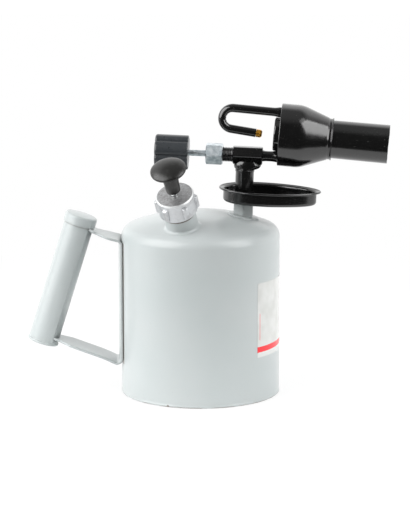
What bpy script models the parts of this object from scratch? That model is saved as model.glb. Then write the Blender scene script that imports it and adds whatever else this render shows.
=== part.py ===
"""A petrol blowlamp: a painted steel tank with a hand pump, a priming tray, a needle valve and a bell burner.

Sizes are in metres. The origin is the middle of the tank's base, Z is up, the burner points along +X and
the handle stands at -X. Heights along a leaning axis are measured from its own frame.
"""

import math

import bmesh
import bpy
import numpy as np
from mathutils import Matrix, Vector

# Clearances and mesh settings
GAP = 0.0003
OVERRUN = 0.003
MERGE_DISTANCE = 0.000001
SAME_LINE_DISTANCE = 0.0001
SHARP_ANGLE = 35.0
TANK_STEPS = 52
BELL_STEPS = 40
ROUND_STEPS = 28
HEX_STEPS = 18
SMALL_STEPS = 18
TINY_STEPS = 12
KNOB_STEPS = 48
TRAY_STEPS = 40
BAR_STEPS = 8
ARC_STEPS = 4
INNER_ARC_STEPS = 3
CORNER_STEPS = 2
CROWN_STEPS = 5
BALL_ARC_STEPS = 6
BEND_STEPS = 12

# Tank
TANK_RADIUS = 0.065
TANK_WALL = 0.0012
TANK_WALL_HEIGHT = 0.1303
SHOULDER_RADIUS = 0.010
DOME_EDGE_SLOPE = 21.0
RIM_FLARE = 0.0003
RIM_HEIGHT = 0.0022
RIM_LIFT = 0.0005
BASE_THICKNESS = 0.0012
BASE_FLANGE = 0.008
BASE_CORNER = 0.002
BASE_BEAD_RADIUS = 0.044
BASE_BEAD_WIDTH = 0.008
BASE_BEAD_HEIGHT = 0.001

# Filler neck, on the pump's axis
PUMP_DISTANCE = 0.0411
PUMP_AZIMUTH = 20.5
PUMP_LEAN = 32.0
NECK_RADIUS = 0.0132
NECK_WALL = 0.0030
NECK_HEIGHT = 0.0274
NECK_DEPTH = 0.009
NECK_FILLET = 0.0026
FILLET_EDGE = 0.0004

# Pump
GASKET_THICKNESS = 0.0015
BARREL_RADIUS = 0.0095
BARREL_WALL = 0.0012
BARREL_FLANGE = 0.0015
GUIDE_LENGTH = 0.0055
ROD_RADIUS = 0.00275
ROD_THREAD_RADIUS = 0.0020
PUMP_STROKE = 0.070
STROKE_REST = 0.0012
PISTON_PLATE_THICKNESS = 0.0012
PISTON_PLATE_RADIUS = 0.0076
CUP_THICKNESS = 0.0015
CUP_SKIRT = 0.0043
CUP_SKIRT_SHARE = 0.87
SPREADER_THICKNESS = 0.0012
SPREADER_RADIUS = 0.0060
PISTON_NUT_THICKNESS = 0.0030
PISTON_NUT_ACROSS_FLATS = 0.0070
ROD_END = 0.0010
PUMP_KNOB_FOOT = 0.0380
PUMP_KNOB_STEM = 0.0190
PUMP_KNOB_STEM_RADIUS = 0.0058
PUMP_KNOB_NECK_RADIUS = 0.0066
PUMP_KNOB_RADIUS = 0.01435
PUMP_KNOB_UNDERSIDE = 0.0010
PUMP_KNOB_RIM = 0.0024
PUMP_KNOB_EDGE_SHARE = 0.93
PUMP_KNOB_BELLY_SHARE = 0.45
PUMP_KNOB_CROWN = 0.0041
ROD_GRIP = 0.0170

# Check valve, at the foot of the pump
CHECK_CLEARANCE = 0.0015
CHECK_SPIGOT = 0.0060
CHECK_LENGTH = 0.0100
CHECK_INLET_RADIUS = 0.0012
CHECK_SEAT_DEPTH = 0.0020
CHECK_CHAMBER_RADIUS = 0.0030
CHECK_BALL_RADIUS = 0.0025
BALL_REST = 0.00005
RETAINER_THICKNESS = 0.0015
RETAINER_HOLE_RADIUS = 0.00055
RETAINER_HOLE_PLACE = 0.0018
RETAINER_HOLES = 3

# Pump cap
CAP_TOP_THICKNESS = 0.0025
CAP_HEIGHT = 0.0165
CAP_TOP_RADIUS = 0.01475
CAP_SHOULDER = 0.0012
CAP_SKIRT_RADIUS = 0.0157
CAP_UPPER_RADIUS = 0.0153
CAP_LUGS = 6
CAP_LUG_REACH = 0.0019
CAP_LUG_WIDTH = 0.0040
CAP_LUG_HEIGHT = 0.0108
CAP_LUG_SLOPE = 0.0025
CAP_LUG_LIFT = 0.0018
CAP_LUG_PHASE = 16.0

# Riser boss and its pad, on the riser's axis
RISER_INSET = 0.0301
RISER_LEAN = 2.0
BURNER_YAW = 4.0
PAD_RADIUS = 0.0130
PAD_THICKNESS = 0.0010
PAD_ROUNDING = 0.0005
BOSS_ACROSS_FLATS = 0.0156
BOSS_TURN = 30.0
BOSS_HEIGHT = 0.0118
BOSS_STEM_RADIUS = 0.0055
BOSS_STEM_DEPTH = 0.008
BOSS_SPIGOT_RADIUS = 0.0047
BOSS_SPIGOT_HEIGHT = 0.0084
BOSS_BORE = 0.0030
BOSS_SOCKET = 0.0063
DIP_TUBE_RADIUS = 0.0035
DIP_TUBE_WALL = 0.0010
DIP_TUBE_LIFT = 0.008
FILTER_WALL = 0.0009
FILTER_HEIGHT = 0.012
FILTER_DROP = 0.0020
FILTER_HOLE_RADIUS = 0.0009
FILTER_BARS = 3

# Priming tray
TRAY_THICKNESS = 0.0010
TRAY_CENTRE = 0.0211
TRAY_RIM_LENGTH = 0.0836
TRAY_RIM_WIDTH = 0.0510
TRAY_FLOOR_LENGTH = 0.0764
TRAY_FLOOR_WIDTH = 0.0436
TRAY_DEPTH = 0.0118
TRAY_CORNER = 0.0028
TRAY_TAPER_SHARE = 0.17
TRAY_TILT = 0.5
TRAY_ROLL = 1.2
# Each row is the height and the outward flare of the wall above its lower corner, up to the rim.
TRAY_WALL_SHARES = ((0.0, 0.0), (0.40, 0.22), (0.75, 0.52), (1.0, 1.0))

# Riser pipe
WASHER_THICKNESS = 0.0010
WASHER_RADIUS = 0.0072
RISER_RADIUS = 0.0075
RISER_HEIGHT = 0.0239
RISER_BORE = 0.0030
RISER_SOCKET = 0.0058
RISER_RING_RADIUS = 0.0079
RISER_RING_HEIGHT = 0.0014

# Valve body, on the valve's axis, with heights that grow towards the knob
TEE_RISE = 0.0113
TEE_CORNER_RADIUS = 0.0080
TEE_TURN = 30.0
TEE_FRONT = 0.0141
TEE_BACK = 0.0103
TEE_NECK_RADIUS = 0.0060
TEE_NECK_LENGTH = 0.0167
TEE_SPIGOT = 0.0050
TEE_SPIGOT_RADIUS = 0.0047
BEAD_BACK = 0.0092
BEAD_FRONT = 0.0131
BEAD_WIDTH = 0.0142
BEAD_HEIGHT = 0.0036
BEAD_SINK = 0.0040
BEAD_INSIDE_SHARE = 0.75
TEE_INLET_RADIUS = 0.0020
TEE_CHAMBER_RADIUS = 0.0034
TEE_CHAMBER_LENGTH = 0.0145
SEAT_START = 0.0026
SEAT_RADIUS = 0.0010
SEAT_LENGTH = 0.0010
OUTLET_RADIUS = 0.0022
FEED_SOCKET = 0.0037
PACKING_RADIUS = 0.0048
PACKING_DEPTH = 0.0080
HEX_CHAMFER_SHARE = 0.96
HEX_CHAMFER_SLOPE = 30.0

# Gland
NUT_ACROSS_FLATS = 0.0160
NUT_TURN = 26.0
NUT_START = 0.0185
NUT_LENGTH = 0.0138
NUT_FACE = 0.0041
PACKING_LENGTH = 0.0040
FOLLOWER_FLANGE = 0.0007
FOLLOWER_FLANGE_RADIUS = 0.0058

# Needle, spindle and valve knob
NEEDLE_RADIUS = 0.0023
NEEDLE_SEAT_GAP = 0.00015
NEEDLE_TIP_RADIUS = 0.0003
NEEDLE_PIN_RADIUS = 0.0010
NEEDLE_PIN_LENGTH = 0.0040
SPINDLE_RADIUS = 0.0025
SPINDLE_THREAD_RADIUS = 0.0030
SPINDLE_THREAD_LENGTH = 0.0125
KNOB_START = 0.0466
KNOB_LENGTH = 0.0273
KNOB_RADIUS = 0.0142
KNOB_CORNER = 0.0024
KNOB_LOBES = 6
KNOB_GROOVE_DEPTH = 0.0022
KNOB_GROOVE_WIDTH = 10.0
KNOB_GROOVE_PHASE = 23.8
KNOB_RECESS_RADIUS = 0.0042
KNOB_RECESS_DEPTH = 0.0030
KNOB_WEB = 0.0021
SCREW_HEAD_RADIUS = 0.0034
SCREW_HEAD_HEIGHT = 0.0018
SCREW_RADIUS = 0.0014
SCREW_LENGTH = 0.0080

# Burner, on its own drooping axis
BURNER_START = 0.0272
FEED_PORT_DISTANCE = 0.0183
BURNER_DROOP = 2.65
BELL_RADIUS = 0.0255
BELL_WALL = 0.0012
BELL_RIM_ROUNDING = 0.0006
BELL_CYLINDER = 0.0175
BELL_CONE = 0.0216
BELL_LIP = 0.0041
BELL_NECK_STEP = 0.00065
BELL_GROOVE = 0.0029
GROOVE_START_SHARE = 0.35
GROOVE_END_SHARE = 1.12
PLATE_RECESS = 0.0008
PLATE_THICKNESS = 0.0012
COLLAR_RADIUS = 0.0134
COLLAR_LENGTH = 0.0047
COLLAR_ROUNDING = 0.0012
COLLAR_FLARE = 0.0015
AIR_BORE = 0.0095
AIR_TUBE_WALL = 0.0008
AIR_TUBE_DEPTH = 0.0140
FLAME_TUBE_RADIUS = 0.0155
FLAME_TUBE_MOUTH_RADIUS = 0.01575
FLAME_TUBE_WALL = 0.0011
FLAME_TUBE_INSET = 0.0072
FLAME_TUBE_REACH = 0.0455

# Fuel and vapour tubes
FEED_RADIUS = 0.0042
TUBE_RADIUS = 0.0035
TUBE_WALL = 0.0010
TUBE_END_DEPTH = 0.0035
LOOP_LAP = 0.0010
LOOP_DEPTH = 0.0120
LOOP_CLEARANCE = 0.0038
LOOP_BEND_SHARE = 0.67
LOOP_ELBOW_SHARE = 0.30
VAPOUR_BEND_X = -0.0113
VAPOUR_BEND_RISE = 0.0114
VAPOUR_BEND_RADIUS = 0.0086
VAPOUR_UPPER_SLOPE = 3.0
VAPOUR_LOWER_SLOPE = 7.1
VAPOUR_LOWER_END = 0.0079
JET_RADIUS = 0.00325
JET_LENGTH = 0.0046
JET_TIP_RADIUS = 0.0022
JET_TIP_LENGTH = 0.0012
JET_SHANK_LENGTH = 0.0040
JET_BORE = 0.0011
JET_ORIFICE = 0.0003
JET_ORIFICE_LENGTH = 0.0010

# Handle
STRAP_THICKNESS = 0.0020
STRAP_WIDTH = 0.0300
STRAP_TOP = 0.1264
STRAP_BOTTOM = 0.0254
STRAP_CORNER_RADIUS = 0.0028
STRAP_CAMBER_FADE = 0.0200
STRAP_WIDTH_POINTS = 5
TAB_WIDTH = 0.0200
TAB_TIP_WIDTH = 0.0120
TAB_TIP_LENGTH = 0.0095
TAB_LENGTH = 0.0130
TAB_SHOULDER = 0.0100
TAB_HOOK_RADIUS = 0.0120
GRIP_REACH = 0.0654
GRIP_FOOT_HEIGHT = 0.0412
GRIP_LEAN = 17.3
GRIP_LENGTH = 0.1105
GRIP_RADIUS = 0.0123
GRIP_WALL = 0.0012
GRIP_LIP = 0.0006
GRIP_LIP_HEIGHT = 0.0018
LOWER_TAB_HEIGHT = 0.0071
UPPER_BEND_DROP = 0.0085
UPPER_BEND_SHARE = 0.756
UPPER_TIP_DROP = 0.0033
UPPER_TIP_SHARE = 0.35
GRIP_CAP_THICKNESS = 0.0008
GRIP_CAP_SKIRT = 0.0079
GRIP_CAP_ROUNDING = 0.0018
GRIP_CAP_CROWN = 0.0008
GRIP_CAP_CROWN_SHARE = 0.75

# Sizes and heights that follow from the ones above
DOME_EDGE_RADIUS = TANK_RADIUS - SHOULDER_RADIUS * (1 - math.sin(math.radians(DOME_EDGE_SLOPE)))
DOME_RADIUS = DOME_EDGE_RADIUS / math.sin(math.radians(DOME_EDGE_SLOPE))
DOME_CENTRE = TANK_WALL_HEIGHT + (SHOULDER_RADIUS - DOME_RADIUS) * math.cos(math.radians(DOME_EDGE_SLOPE))
RISER_DISTANCE = TANK_RADIUS - RISER_INSET
NECK_BORE = NECK_RADIUS - NECK_WALL
GASKET_FOOT = NECK_HEIGHT + GAP
FLANGE_FOOT = GASKET_FOOT + GASKET_THICKNESS + GAP
FLANGE_TOP = FLANGE_FOOT + BARREL_FLANGE
CAP_CEILING = FLANGE_TOP + GAP
CAP_TOP = CAP_CEILING + CAP_TOP_THICKNESS
CAP_FOOT = CAP_TOP - CAP_HEIGHT
CAP_BORE = NECK_RADIUS + GAP
BARREL_BORE = BARREL_RADIUS - BARREL_WALL
GUIDE_FOOT = FLANGE_TOP - GUIDE_LENGTH
PISTON_TOP = GUIDE_FOOT - STROKE_REST - PUMP_STROKE
PISTON_BORE = ROD_THREAD_RADIUS + GAP
CUP_TOP = PISTON_TOP - PISTON_PLATE_THICKNESS - GAP
CUP_RADIUS = BARREL_BORE - GAP
SPREADER_TOP = CUP_TOP - CUP_THICKNESS - GAP
PISTON_NUT_TOP = SPREADER_TOP - SPREADER_THICKNESS - GAP
ROD_FOOT = PISTON_NUT_TOP - PISTON_NUT_THICKNESS - ROD_END
ROD_TOP = PUMP_KNOB_FOOT + ROD_GRIP
PUMP_KNOB_HEAD = PUMP_KNOB_FOOT + PUMP_KNOB_STEM
PUMP_KNOB_TOP = PUMP_KNOB_HEAD + PUMP_KNOB_UNDERSIDE + PUMP_KNOB_RIM + PUMP_KNOB_CROWN
CHECK_TOP = ROD_FOOT - CHECK_CLEARANCE
BARREL_FOOT = CHECK_TOP - CHECK_SPIGOT
CHECK_FOOT = BARREL_FOOT - GAP - CHECK_LENGTH
CHECK_SEAT_FOOT = BARREL_FOOT - GAP - CHECK_SEAT_DEPTH - (CHECK_CHAMBER_RADIUS - CHECK_INLET_RADIUS)
RETAINER_TOP = CHECK_FOOT + RETAINER_THICKNESS
BALL_CENTRE = RETAINER_TOP + BALL_REST + CHECK_BALL_RADIUS
TRAY_FOOT = BOSS_HEIGHT + GAP
WASHER_FOOT = TRAY_FOOT + TRAY_THICKNESS + GAP
RISER_FOOT = WASHER_FOOT + WASHER_THICKNESS + GAP
RISER_TOP = RISER_FOOT + RISER_HEIGHT
BOSS_SPIGOT_TOP = BOSS_HEIGHT + BOSS_SPIGOT_HEIGHT
SPIGOT_CLEARANCE_RADIUS = BOSS_SPIGOT_RADIUS + GAP
TEE_FOOT = RISER_TOP + GAP
VALVE_HEIGHT = TEE_FOOT + TEE_RISE
BURNER_HEIGHT = VALVE_HEIGHT + FEED_PORT_DISTANCE
VAPOUR_BEND_HEIGHT = BURNER_HEIGHT + VAPOUR_BEND_RISE
TEE_ACROSS_FLATS = TEE_CORNER_RADIUS * math.sqrt(3)
TEE_NECK_END = TEE_BACK + TEE_NECK_LENGTH
SPINDLE_CLEARANCE = SPINDLE_RADIUS + GAP
PACKING_FLOOR = TEE_NECK_END - PACKING_DEPTH
NUT_END = NUT_START + NUT_LENGTH
NUT_CEILING = NUT_END - NUT_FACE
PACKING_FOOT = PACKING_FLOOR + GAP
FOLLOWER_FOOT = PACKING_FOOT + PACKING_LENGTH + GAP
FOLLOWER_TOP = NUT_CEILING - GAP
KNOB_END = KNOB_START + KNOB_LENGTH
SPINDLE_END = KNOB_END - KNOB_RECESS_DEPTH - KNOB_WEB - GAP
BELL_BORE = BELL_RADIUS - BELL_WALL
FLAME_TUBE_SEAT = FLAME_TUBE_RADIUS + GAP
BELL_NECK_RADIUS = FLAME_TUBE_SEAT + BELL_WALL + BELL_NECK_STEP / 2
BELL_CONE_END = BELL_CYLINDER + BELL_CONE
BELL_END = BELL_CONE_END + BELL_LIP
PLATE_END = PLATE_RECESS + PLATE_THICKNESS
PLATE_RADIUS = BELL_BORE - GAP
AIR_TUBE_RADIUS = AIR_BORE + AIR_TUBE_WALL
TUBE_BORE = TUBE_RADIUS - TUBE_WALL
FEED_BORE = TUBE_RADIUS + GAP
STRAP_X = -(TANK_RADIUS + GAP + STRAP_THICKNESS / 2)
GRIP_BORE = GRIP_RADIUS - GRIP_WALL
GRIP_CAP_BORE = GRIP_RADIUS + GAP
GRIP_CAP_RADIUS = GRIP_CAP_BORE + GRIP_CAP_THICKNESS

# Colour, metallic value and roughness of each finish
LOOKS = {
    "grey paint": ((0.45, 0.51, 0.56), 0.0, 0.25),
    "black enamel": ((0.010, 0.010, 0.011), 0.0, 0.22),
    "black plastic": ((0.012, 0.012, 0.012), 0.0, 0.35),
    "zinc plate": ((0.52, 0.52, 0.50), 1.0, 0.30),
    "cast alloy": ((0.42, 0.43, 0.43), 1.0, 0.45),
    "bright steel": ((0.56, 0.56, 0.56), 1.0, 0.28),
    "brass": ((0.72, 0.52, 0.22), 1.0, 0.30),
    "leather": ((0.16, 0.08, 0.035), 0.0, 0.70),
    "fibre": ((0.09, 0.07, 0.06), 0.0, 0.85),
    "rubber": ((0.015, 0.015, 0.015), 0.0, 0.75),
}


def turn(degrees, axis):
    return Matrix.Rotation(math.radians(degrees), 4, axis)


def dome_height(distance):
    """Height of the dome's outer face at a distance from the tank's axis."""
    return DOME_CENTRE + math.sqrt(DOME_RADIUS**2 - distance**2)


def pump_place():
    """The pump's axis stands on the dome and leans out from it, to the front and a little to the handle."""
    foot = turn(-PUMP_AZIMUTH, "Z") @ Vector((0, -PUMP_DISTANCE, dome_height(PUMP_DISTANCE)))
    return Matrix.Translation(foot) @ turn(-PUMP_AZIMUTH, "Z") @ turn(PUMP_LEAN, "X")


def riser_place():
    """The riser's axis stands on the dome, yawed so that the burner points a little forwards."""
    foot = Matrix.Translation((RISER_DISTANCE, 0, dome_height(RISER_DISTANCE)))
    return foot @ turn(RISER_LEAN, "Y") @ turn(-BURNER_YAW, "Z")


def burner_place():
    """The burner's axis in the riser's frame: it points to the mouth and droops a little."""
    return Matrix.Translation((BURNER_START, 0, BURNER_HEIGHT)) @ turn(90 + BURNER_DROOP, "Y")


def jet_place():
    """The jet's axis in the riser's frame: it carries on from the lower run of the vapour tube."""
    return Matrix.Translation(vapour_lower_end()) @ turn(90 + VAPOUR_LOWER_SLOPE, "Y")


def grip_foot():
    return Vector((-(TANK_RADIUS + GRIP_REACH), 0, GRIP_FOOT_HEIGHT))


def on_grip(out, height):
    """A point in the strap's plane, given by its distance from the grip's axis and its height along it."""
    return grip_foot() + turn(GRIP_LEAN, "Y") @ Vector((out, 0, height))


def make_frame(name, place, parent=None):
    frame = bpy.data.objects.new(name, None)
    frame.empty_display_size = TANK_WALL_HEIGHT / 10
    frame.parent = parent
    frame.matrix_basis = place
    bpy.context.scene.collection.objects.link(frame)
    return frame


def make_frames():
    """The axes that the pieces are built on."""
    tank = make_frame("tank_axis", Matrix.Identity(4))
    pump = make_frame("pump_axis", pump_place(), tank)
    riser = make_frame("riser_axis", riser_place(), tank)
    valve_place = Matrix.Translation((0, 0, VALVE_HEIGHT)) @ turn(-90, "Y")
    tray_place = Matrix.Translation((0, 0, TRAY_FOOT)) @ turn(TRAY_TILT, "Y") @ turn(TRAY_ROLL, "X")
    return {
        "tank": tank,
        "pump": pump,
        "riser": riser,
        "tray": make_frame("tray_place", tray_place, riser),
        "valve": make_frame("valve_axis", valve_place, riser),
        "burner": make_frame("burner_axis", burner_place(), riser),
        "jet": make_frame("jet_axis", jet_place(), riser),
        "grip": make_frame("grip_axis", Matrix.Translation(grip_foot()) @ turn(GRIP_LEAN, "Y"), tank),
    }


def make_material(name, look):
    colour, metallic, roughness = LOOKS[look]
    material = bpy.data.materials.new(name)
    material.use_nodes = True
    shader = material.node_tree.nodes["Principled BSDF"]
    shader.inputs["Base Color"].default_value = (*colour, 1.0)
    shader.inputs["Metallic"].default_value = metallic
    shader.inputs["Roughness"].default_value = roughness
    return material


def add_piece(name, shape, look, frame):
    """Close a bmesh into an object on its frame, with its faces outwards and its own material."""
    bmesh.ops.remove_doubles(shape, verts=shape.verts, dist=MERGE_DISTANCE)
    bmesh.ops.recalc_face_normals(shape, faces=shape.faces)
    mesh = bpy.data.meshes.new(name)
    shape.to_mesh(mesh)
    shape.free()
    mesh.shade_smooth()
    mesh.set_sharp_from_angle(angle=math.radians(SHARP_ANGLE))
    piece = bpy.data.objects.new(name, mesh)
    piece.parent = frame
    bpy.context.scene.collection.objects.link(piece)
    if look is None:
        piece.hide_render = True
        piece.display_type = "WIRE"
    else:
        mesh.materials.append(make_material(name, look))
    return piece


def add_turned(name, outline, steps, look, frame):
    """Spin a closed outline of (radius, height) points about the frame's Z axis."""
    shape = bmesh.new()
    points = [shape.verts.new((radius, 0, height)) for radius, height in outline]
    for here, there in zip(points, points[1:] + points[:1]):
        if here.co.x > 0 or there.co.x > 0:
            shape.edges.new((here, there))
    bmesh.ops.spin(
        shape,
        geom=shape.verts[:] + shape.edges[:],
        axis=(0, 0, 1),
        cent=(0, 0, 0),
        angle=math.tau,
        steps=steps,
    )
    return add_piece(name, shape, look, frame)


def add_skinned(name, rings, look, frame, looped=True):
    """Join each ring of points to the next. The last joins the first, or else a face closes each end."""
    shape = bmesh.new()
    rows = [[shape.verts.new(point) for point in ring] for ring in rings]
    following = rows[1:] + rows[:1] if looped else rows[1:]
    for row, other in zip(rows, following):
        for corner in range(len(row)):
            shape.faces.new((row[corner - 1], row[corner], other[corner], other[corner - 1]))
    if not looped:
        shape.faces.new(rows[0])
        shape.faces.new(rows[-1])
    return add_piece(name, shape, look, frame)


def add_tube(name, path, radius, bore, steps, look, frame):
    """A tube along a path, with its bore open at both ends, or a solid rod where the bore is zero."""
    outside = rings_along(path, radius, steps)
    if bore == 0:
        return add_skinned(name, outside, look, frame, looped=False)
    return add_skinned(name, outside + rings_along(path, bore, steps)[::-1], look, frame)


def rings_along(path, radius, steps):
    """Rings of points square to a path, without twist."""
    rings = []
    turned = None
    for place, point in enumerate(path):
        direction = (path[min(place + 1, len(path) - 1)] - path[max(place - 1, 0)]).normalized()
        if turned is None:
            turned = direction.to_track_quat("Z", "Y")
        else:
            turned = previous.rotation_difference(direction) @ turned
        previous = direction
        rings.append([point + turned @ Vector(spoke) for spoke in ring(steps, radius, 0)])
    return rings


def ring(steps, radius, height):
    """Points round the Z axis. The radius and the height may differ from point to point."""
    angle = np.arange(steps) * math.tau / steps
    return np.column_stack(np.broadcast_arrays(radius * np.cos(angle), radius * np.sin(angle), height))


def rings(steps, outline):
    return [ring(steps, radius, height) for radius, height in outline]


def ring_on_dome(place, steps, radius, above):
    """A ring round a leaning axis, each of its points raised or lowered to lie this far above the dome."""
    points = ring(steps, radius, 0)
    axis = np.array(place.col[2][:3])
    start = points @ np.array(place.to_3x3()).T + np.array(place.translation) - np.array((0, 0, DOME_CENTRE))
    along = start @ axis
    points[:, 2] = np.sqrt(along**2 - (start**2).sum(axis=1) + (DOME_RADIUS + above) ** 2) - along
    return points


def hexagon(across_flats):
    """Radius of a hexagon at each of its steps, with a corner at the first."""
    angle = np.arange(HEX_STEPS) * math.tau / HEX_STEPS
    return across_flats / 2 / np.cos(angle % (math.tau / 6) - math.tau / 12)


def hex_end(across_flats, height, side):
    """The two rings of a chamfered hexagon's end, which faces up where side is 1 and down where it is -1."""
    corners = hexagon(across_flats)
    circle = across_flats / 2 * HEX_CHAMFER_SHARE
    fall = (corners - circle) * math.tan(math.radians(HEX_CHAMFER_SLOPE))
    flat = ring(HEX_STEPS, circle, height)
    edge = ring(HEX_STEPS, corners, height - side * fall)
    return [edge, flat] if side > 0 else [flat, edge]


def rounded(corners, radii, steps):
    """A path through the corners, each inner one rounded to its radius with an arc of so many steps."""
    path = [corners[0]]
    for before, corner, after, radius in zip(corners, corners[1:], corners[2:], radii):
        arriving = (corner - before).normalized()
        leaving = (after - corner).normalized()
        bend = arriving.angle(leaving)
        inward = (leaving - arriving * arriving.dot(leaving)).normalized()
        start = corner - arriving * radius * math.tan(bend / 2)
        for angle in np.linspace(0, bend, steps + 1):
            path.append(start + arriving * radius * math.sin(angle) + inward * radius * (1 - math.cos(angle)))
    path.append(corners[-1])
    return path


def arc(centre, radius, start, end, steps):
    """(radius, height) points of an arc in a turned outline, with its angles in degrees from outwards."""
    angles = np.radians(np.linspace(start, end, steps + 1))
    return [(centre[0] + radius * math.cos(angle), centre[1] + radius * math.sin(angle)) for angle in angles]


def combine(piece, other, operation):
    boolean = piece.modifiers.new(other.name, "BOOLEAN")
    boolean.operation = operation
    boolean.solver = "EXACT"
    boolean.object = other


def add_bore(name, radius, low, high, frame, steps=SMALL_STEPS):
    """A round cutter between two heights of its frame."""
    outline = [(0, low), (radius, low), (radius, high), (0, high)]
    return add_turned(name, outline, steps, None, frame)


def add_tank_shell(frames):
    """Drawn cylinder with a rounded shoulder and a dome, and holes for the filler neck and the riser boss."""
    edge = 90 - DOME_EDGE_SLOPE
    shoulder = (TANK_RADIUS - SHOULDER_RADIUS, TANK_WALL_HEIGHT)
    inside = TANK_RADIUS - TANK_WALL
    outline = [(inside, RIM_LIFT), (TANK_RADIUS + RIM_FLARE, RIM_LIFT)]
    outline += [(TANK_RADIUS + RIM_FLARE, RIM_LIFT + RIM_HEIGHT / 2), (TANK_RADIUS, RIM_LIFT + RIM_HEIGHT)]
    outline += arc(shoulder, SHOULDER_RADIUS, 0, edge, ARC_STEPS)
    outline += arc((0, DOME_CENTRE), DOME_RADIUS, edge, 90, ARC_STEPS)[1:-1]
    outline += [(0, DOME_CENTRE + DOME_RADIUS), (0, DOME_CENTRE + DOME_RADIUS - TANK_WALL)]
    outline += arc((0, DOME_CENTRE), DOME_RADIUS - TANK_WALL, 90, edge, INNER_ARC_STEPS)[1:]
    outline += arc(shoulder, SHOULDER_RADIUS - TANK_WALL, edge, 0, INNER_ARC_STEPS)[1:]
    shell = add_turned("tank_shell", outline, TANK_STEPS, "grey paint", frames["tank"])
    reach = NECK_DEPTH + OVERRUN
    neck_hole = add_bore("neck_hole", NECK_RADIUS + GAP, -reach, reach, frames["pump"])
    reach = BOSS_STEM_DEPTH + OVERRUN
    boss_hole = add_bore("boss_hole", BOSS_STEM_RADIUS + GAP, -reach, reach, frames["riser"])
    combine(shell, neck_hole, "DIFFERENCE")
    combine(shell, boss_hole, "DIFFERENCE")


def add_tank_base(frames):
    """Pressed pan that closes the tank. It has a flange up the wall and a raised ring bead."""
    radius = TANK_RADIUS - TANK_WALL - GAP
    inner = BASE_BEAD_RADIUS - BASE_BEAD_WIDTH / 2
    outer = BASE_BEAD_RADIUS + BASE_BEAD_WIDTH / 2
    outline = [(0, 0), (inner, 0), (inner + BASE_BEAD_HEIGHT, BASE_BEAD_HEIGHT)]
    outline += [(outer - BASE_BEAD_HEIGHT, BASE_BEAD_HEIGHT), (outer, 0)]
    outline += arc((radius - BASE_CORNER, BASE_CORNER), BASE_CORNER, -90, 0, CORNER_STEPS)
    outline += [(radius, BASE_FLANGE), (radius - BASE_THICKNESS, BASE_FLANGE)]
    outline += [(radius - BASE_THICKNESS, BASE_CORNER), (radius - BASE_CORNER, BASE_THICKNESS)]
    outline += [(outer, BASE_THICKNESS), (outer - BASE_BEAD_HEIGHT, BASE_THICKNESS + BASE_BEAD_HEIGHT)]
    outline += [(inner + BASE_BEAD_HEIGHT, BASE_THICKNESS + BASE_BEAD_HEIGHT), (inner, BASE_THICKNESS)]
    outline += [(0, BASE_THICKNESS)]
    add_turned("tank_base", outline, TANK_STEPS, "grey paint", frames["tank"])


def add_filler_neck(frames):
    """Tube through the dome, with a braze fillet that follows the dome round it."""
    place = pump_place()
    steps = ROUND_STEPS
    walls = [ring(steps, NECK_BORE, NECK_HEIGHT), ring(steps, NECK_RADIUS, NECK_HEIGHT)]
    for angle in np.linspace(0, math.pi / 2, INNER_ARC_STEPS + 1):
        radius = NECK_RADIUS + NECK_FILLET * (1 - math.cos(angle))
        fillet = ring_on_dome(place, steps, radius, GAP + FILLET_EDGE)
        fillet[:, 2] += NECK_FILLET * (1 - math.sin(angle))
        walls.append(fillet)
    walls.append(ring_on_dome(place, steps, NECK_RADIUS + NECK_FILLET, GAP))
    walls.append(ring_on_dome(place, steps, NECK_RADIUS, GAP))
    walls += rings(steps, [(NECK_RADIUS, -NECK_DEPTH), (NECK_BORE, -NECK_DEPTH)])
    add_skinned("filler_neck", walls, "grey paint", frames["pump"])


def add_pump_barrel(frames):
    """Pump tube that hangs in the neck by its flange."""
    outline = [(BARREL_BORE, FLANGE_TOP), (NECK_RADIUS, FLANGE_TOP), (NECK_RADIUS, FLANGE_FOOT)]
    outline += [(BARREL_RADIUS, FLANGE_FOOT), (BARREL_RADIUS, BARREL_FOOT), (BARREL_BORE, BARREL_FOOT)]
    add_turned("pump_barrel", outline, ROUND_STEPS, "brass", frames["pump"])


def add_cap_gasket(frames):
    inner = BARREL_RADIUS + GAP
    top = GASKET_FOOT + GASKET_THICKNESS
    outline = [(inner, GASKET_FOOT), (NECK_RADIUS, GASKET_FOOT), (NECK_RADIUS, top), (inner, top)]
    add_turned("cap_gasket", outline, ROUND_STEPS, "rubber", frames["pump"])


def add_rod_guide(frames):
    """Bush in the top of the barrel that the rod slides in."""
    inner = ROD_RADIUS + GAP
    outer = BARREL_BORE - GAP
    outline = [(inner, GUIDE_FOOT), (outer, GUIDE_FOOT), (outer, FLANGE_TOP), (inner, FLANGE_TOP)]
    add_turned("rod_guide", outline, SMALL_STEPS, "brass", frames["pump"])


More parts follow.
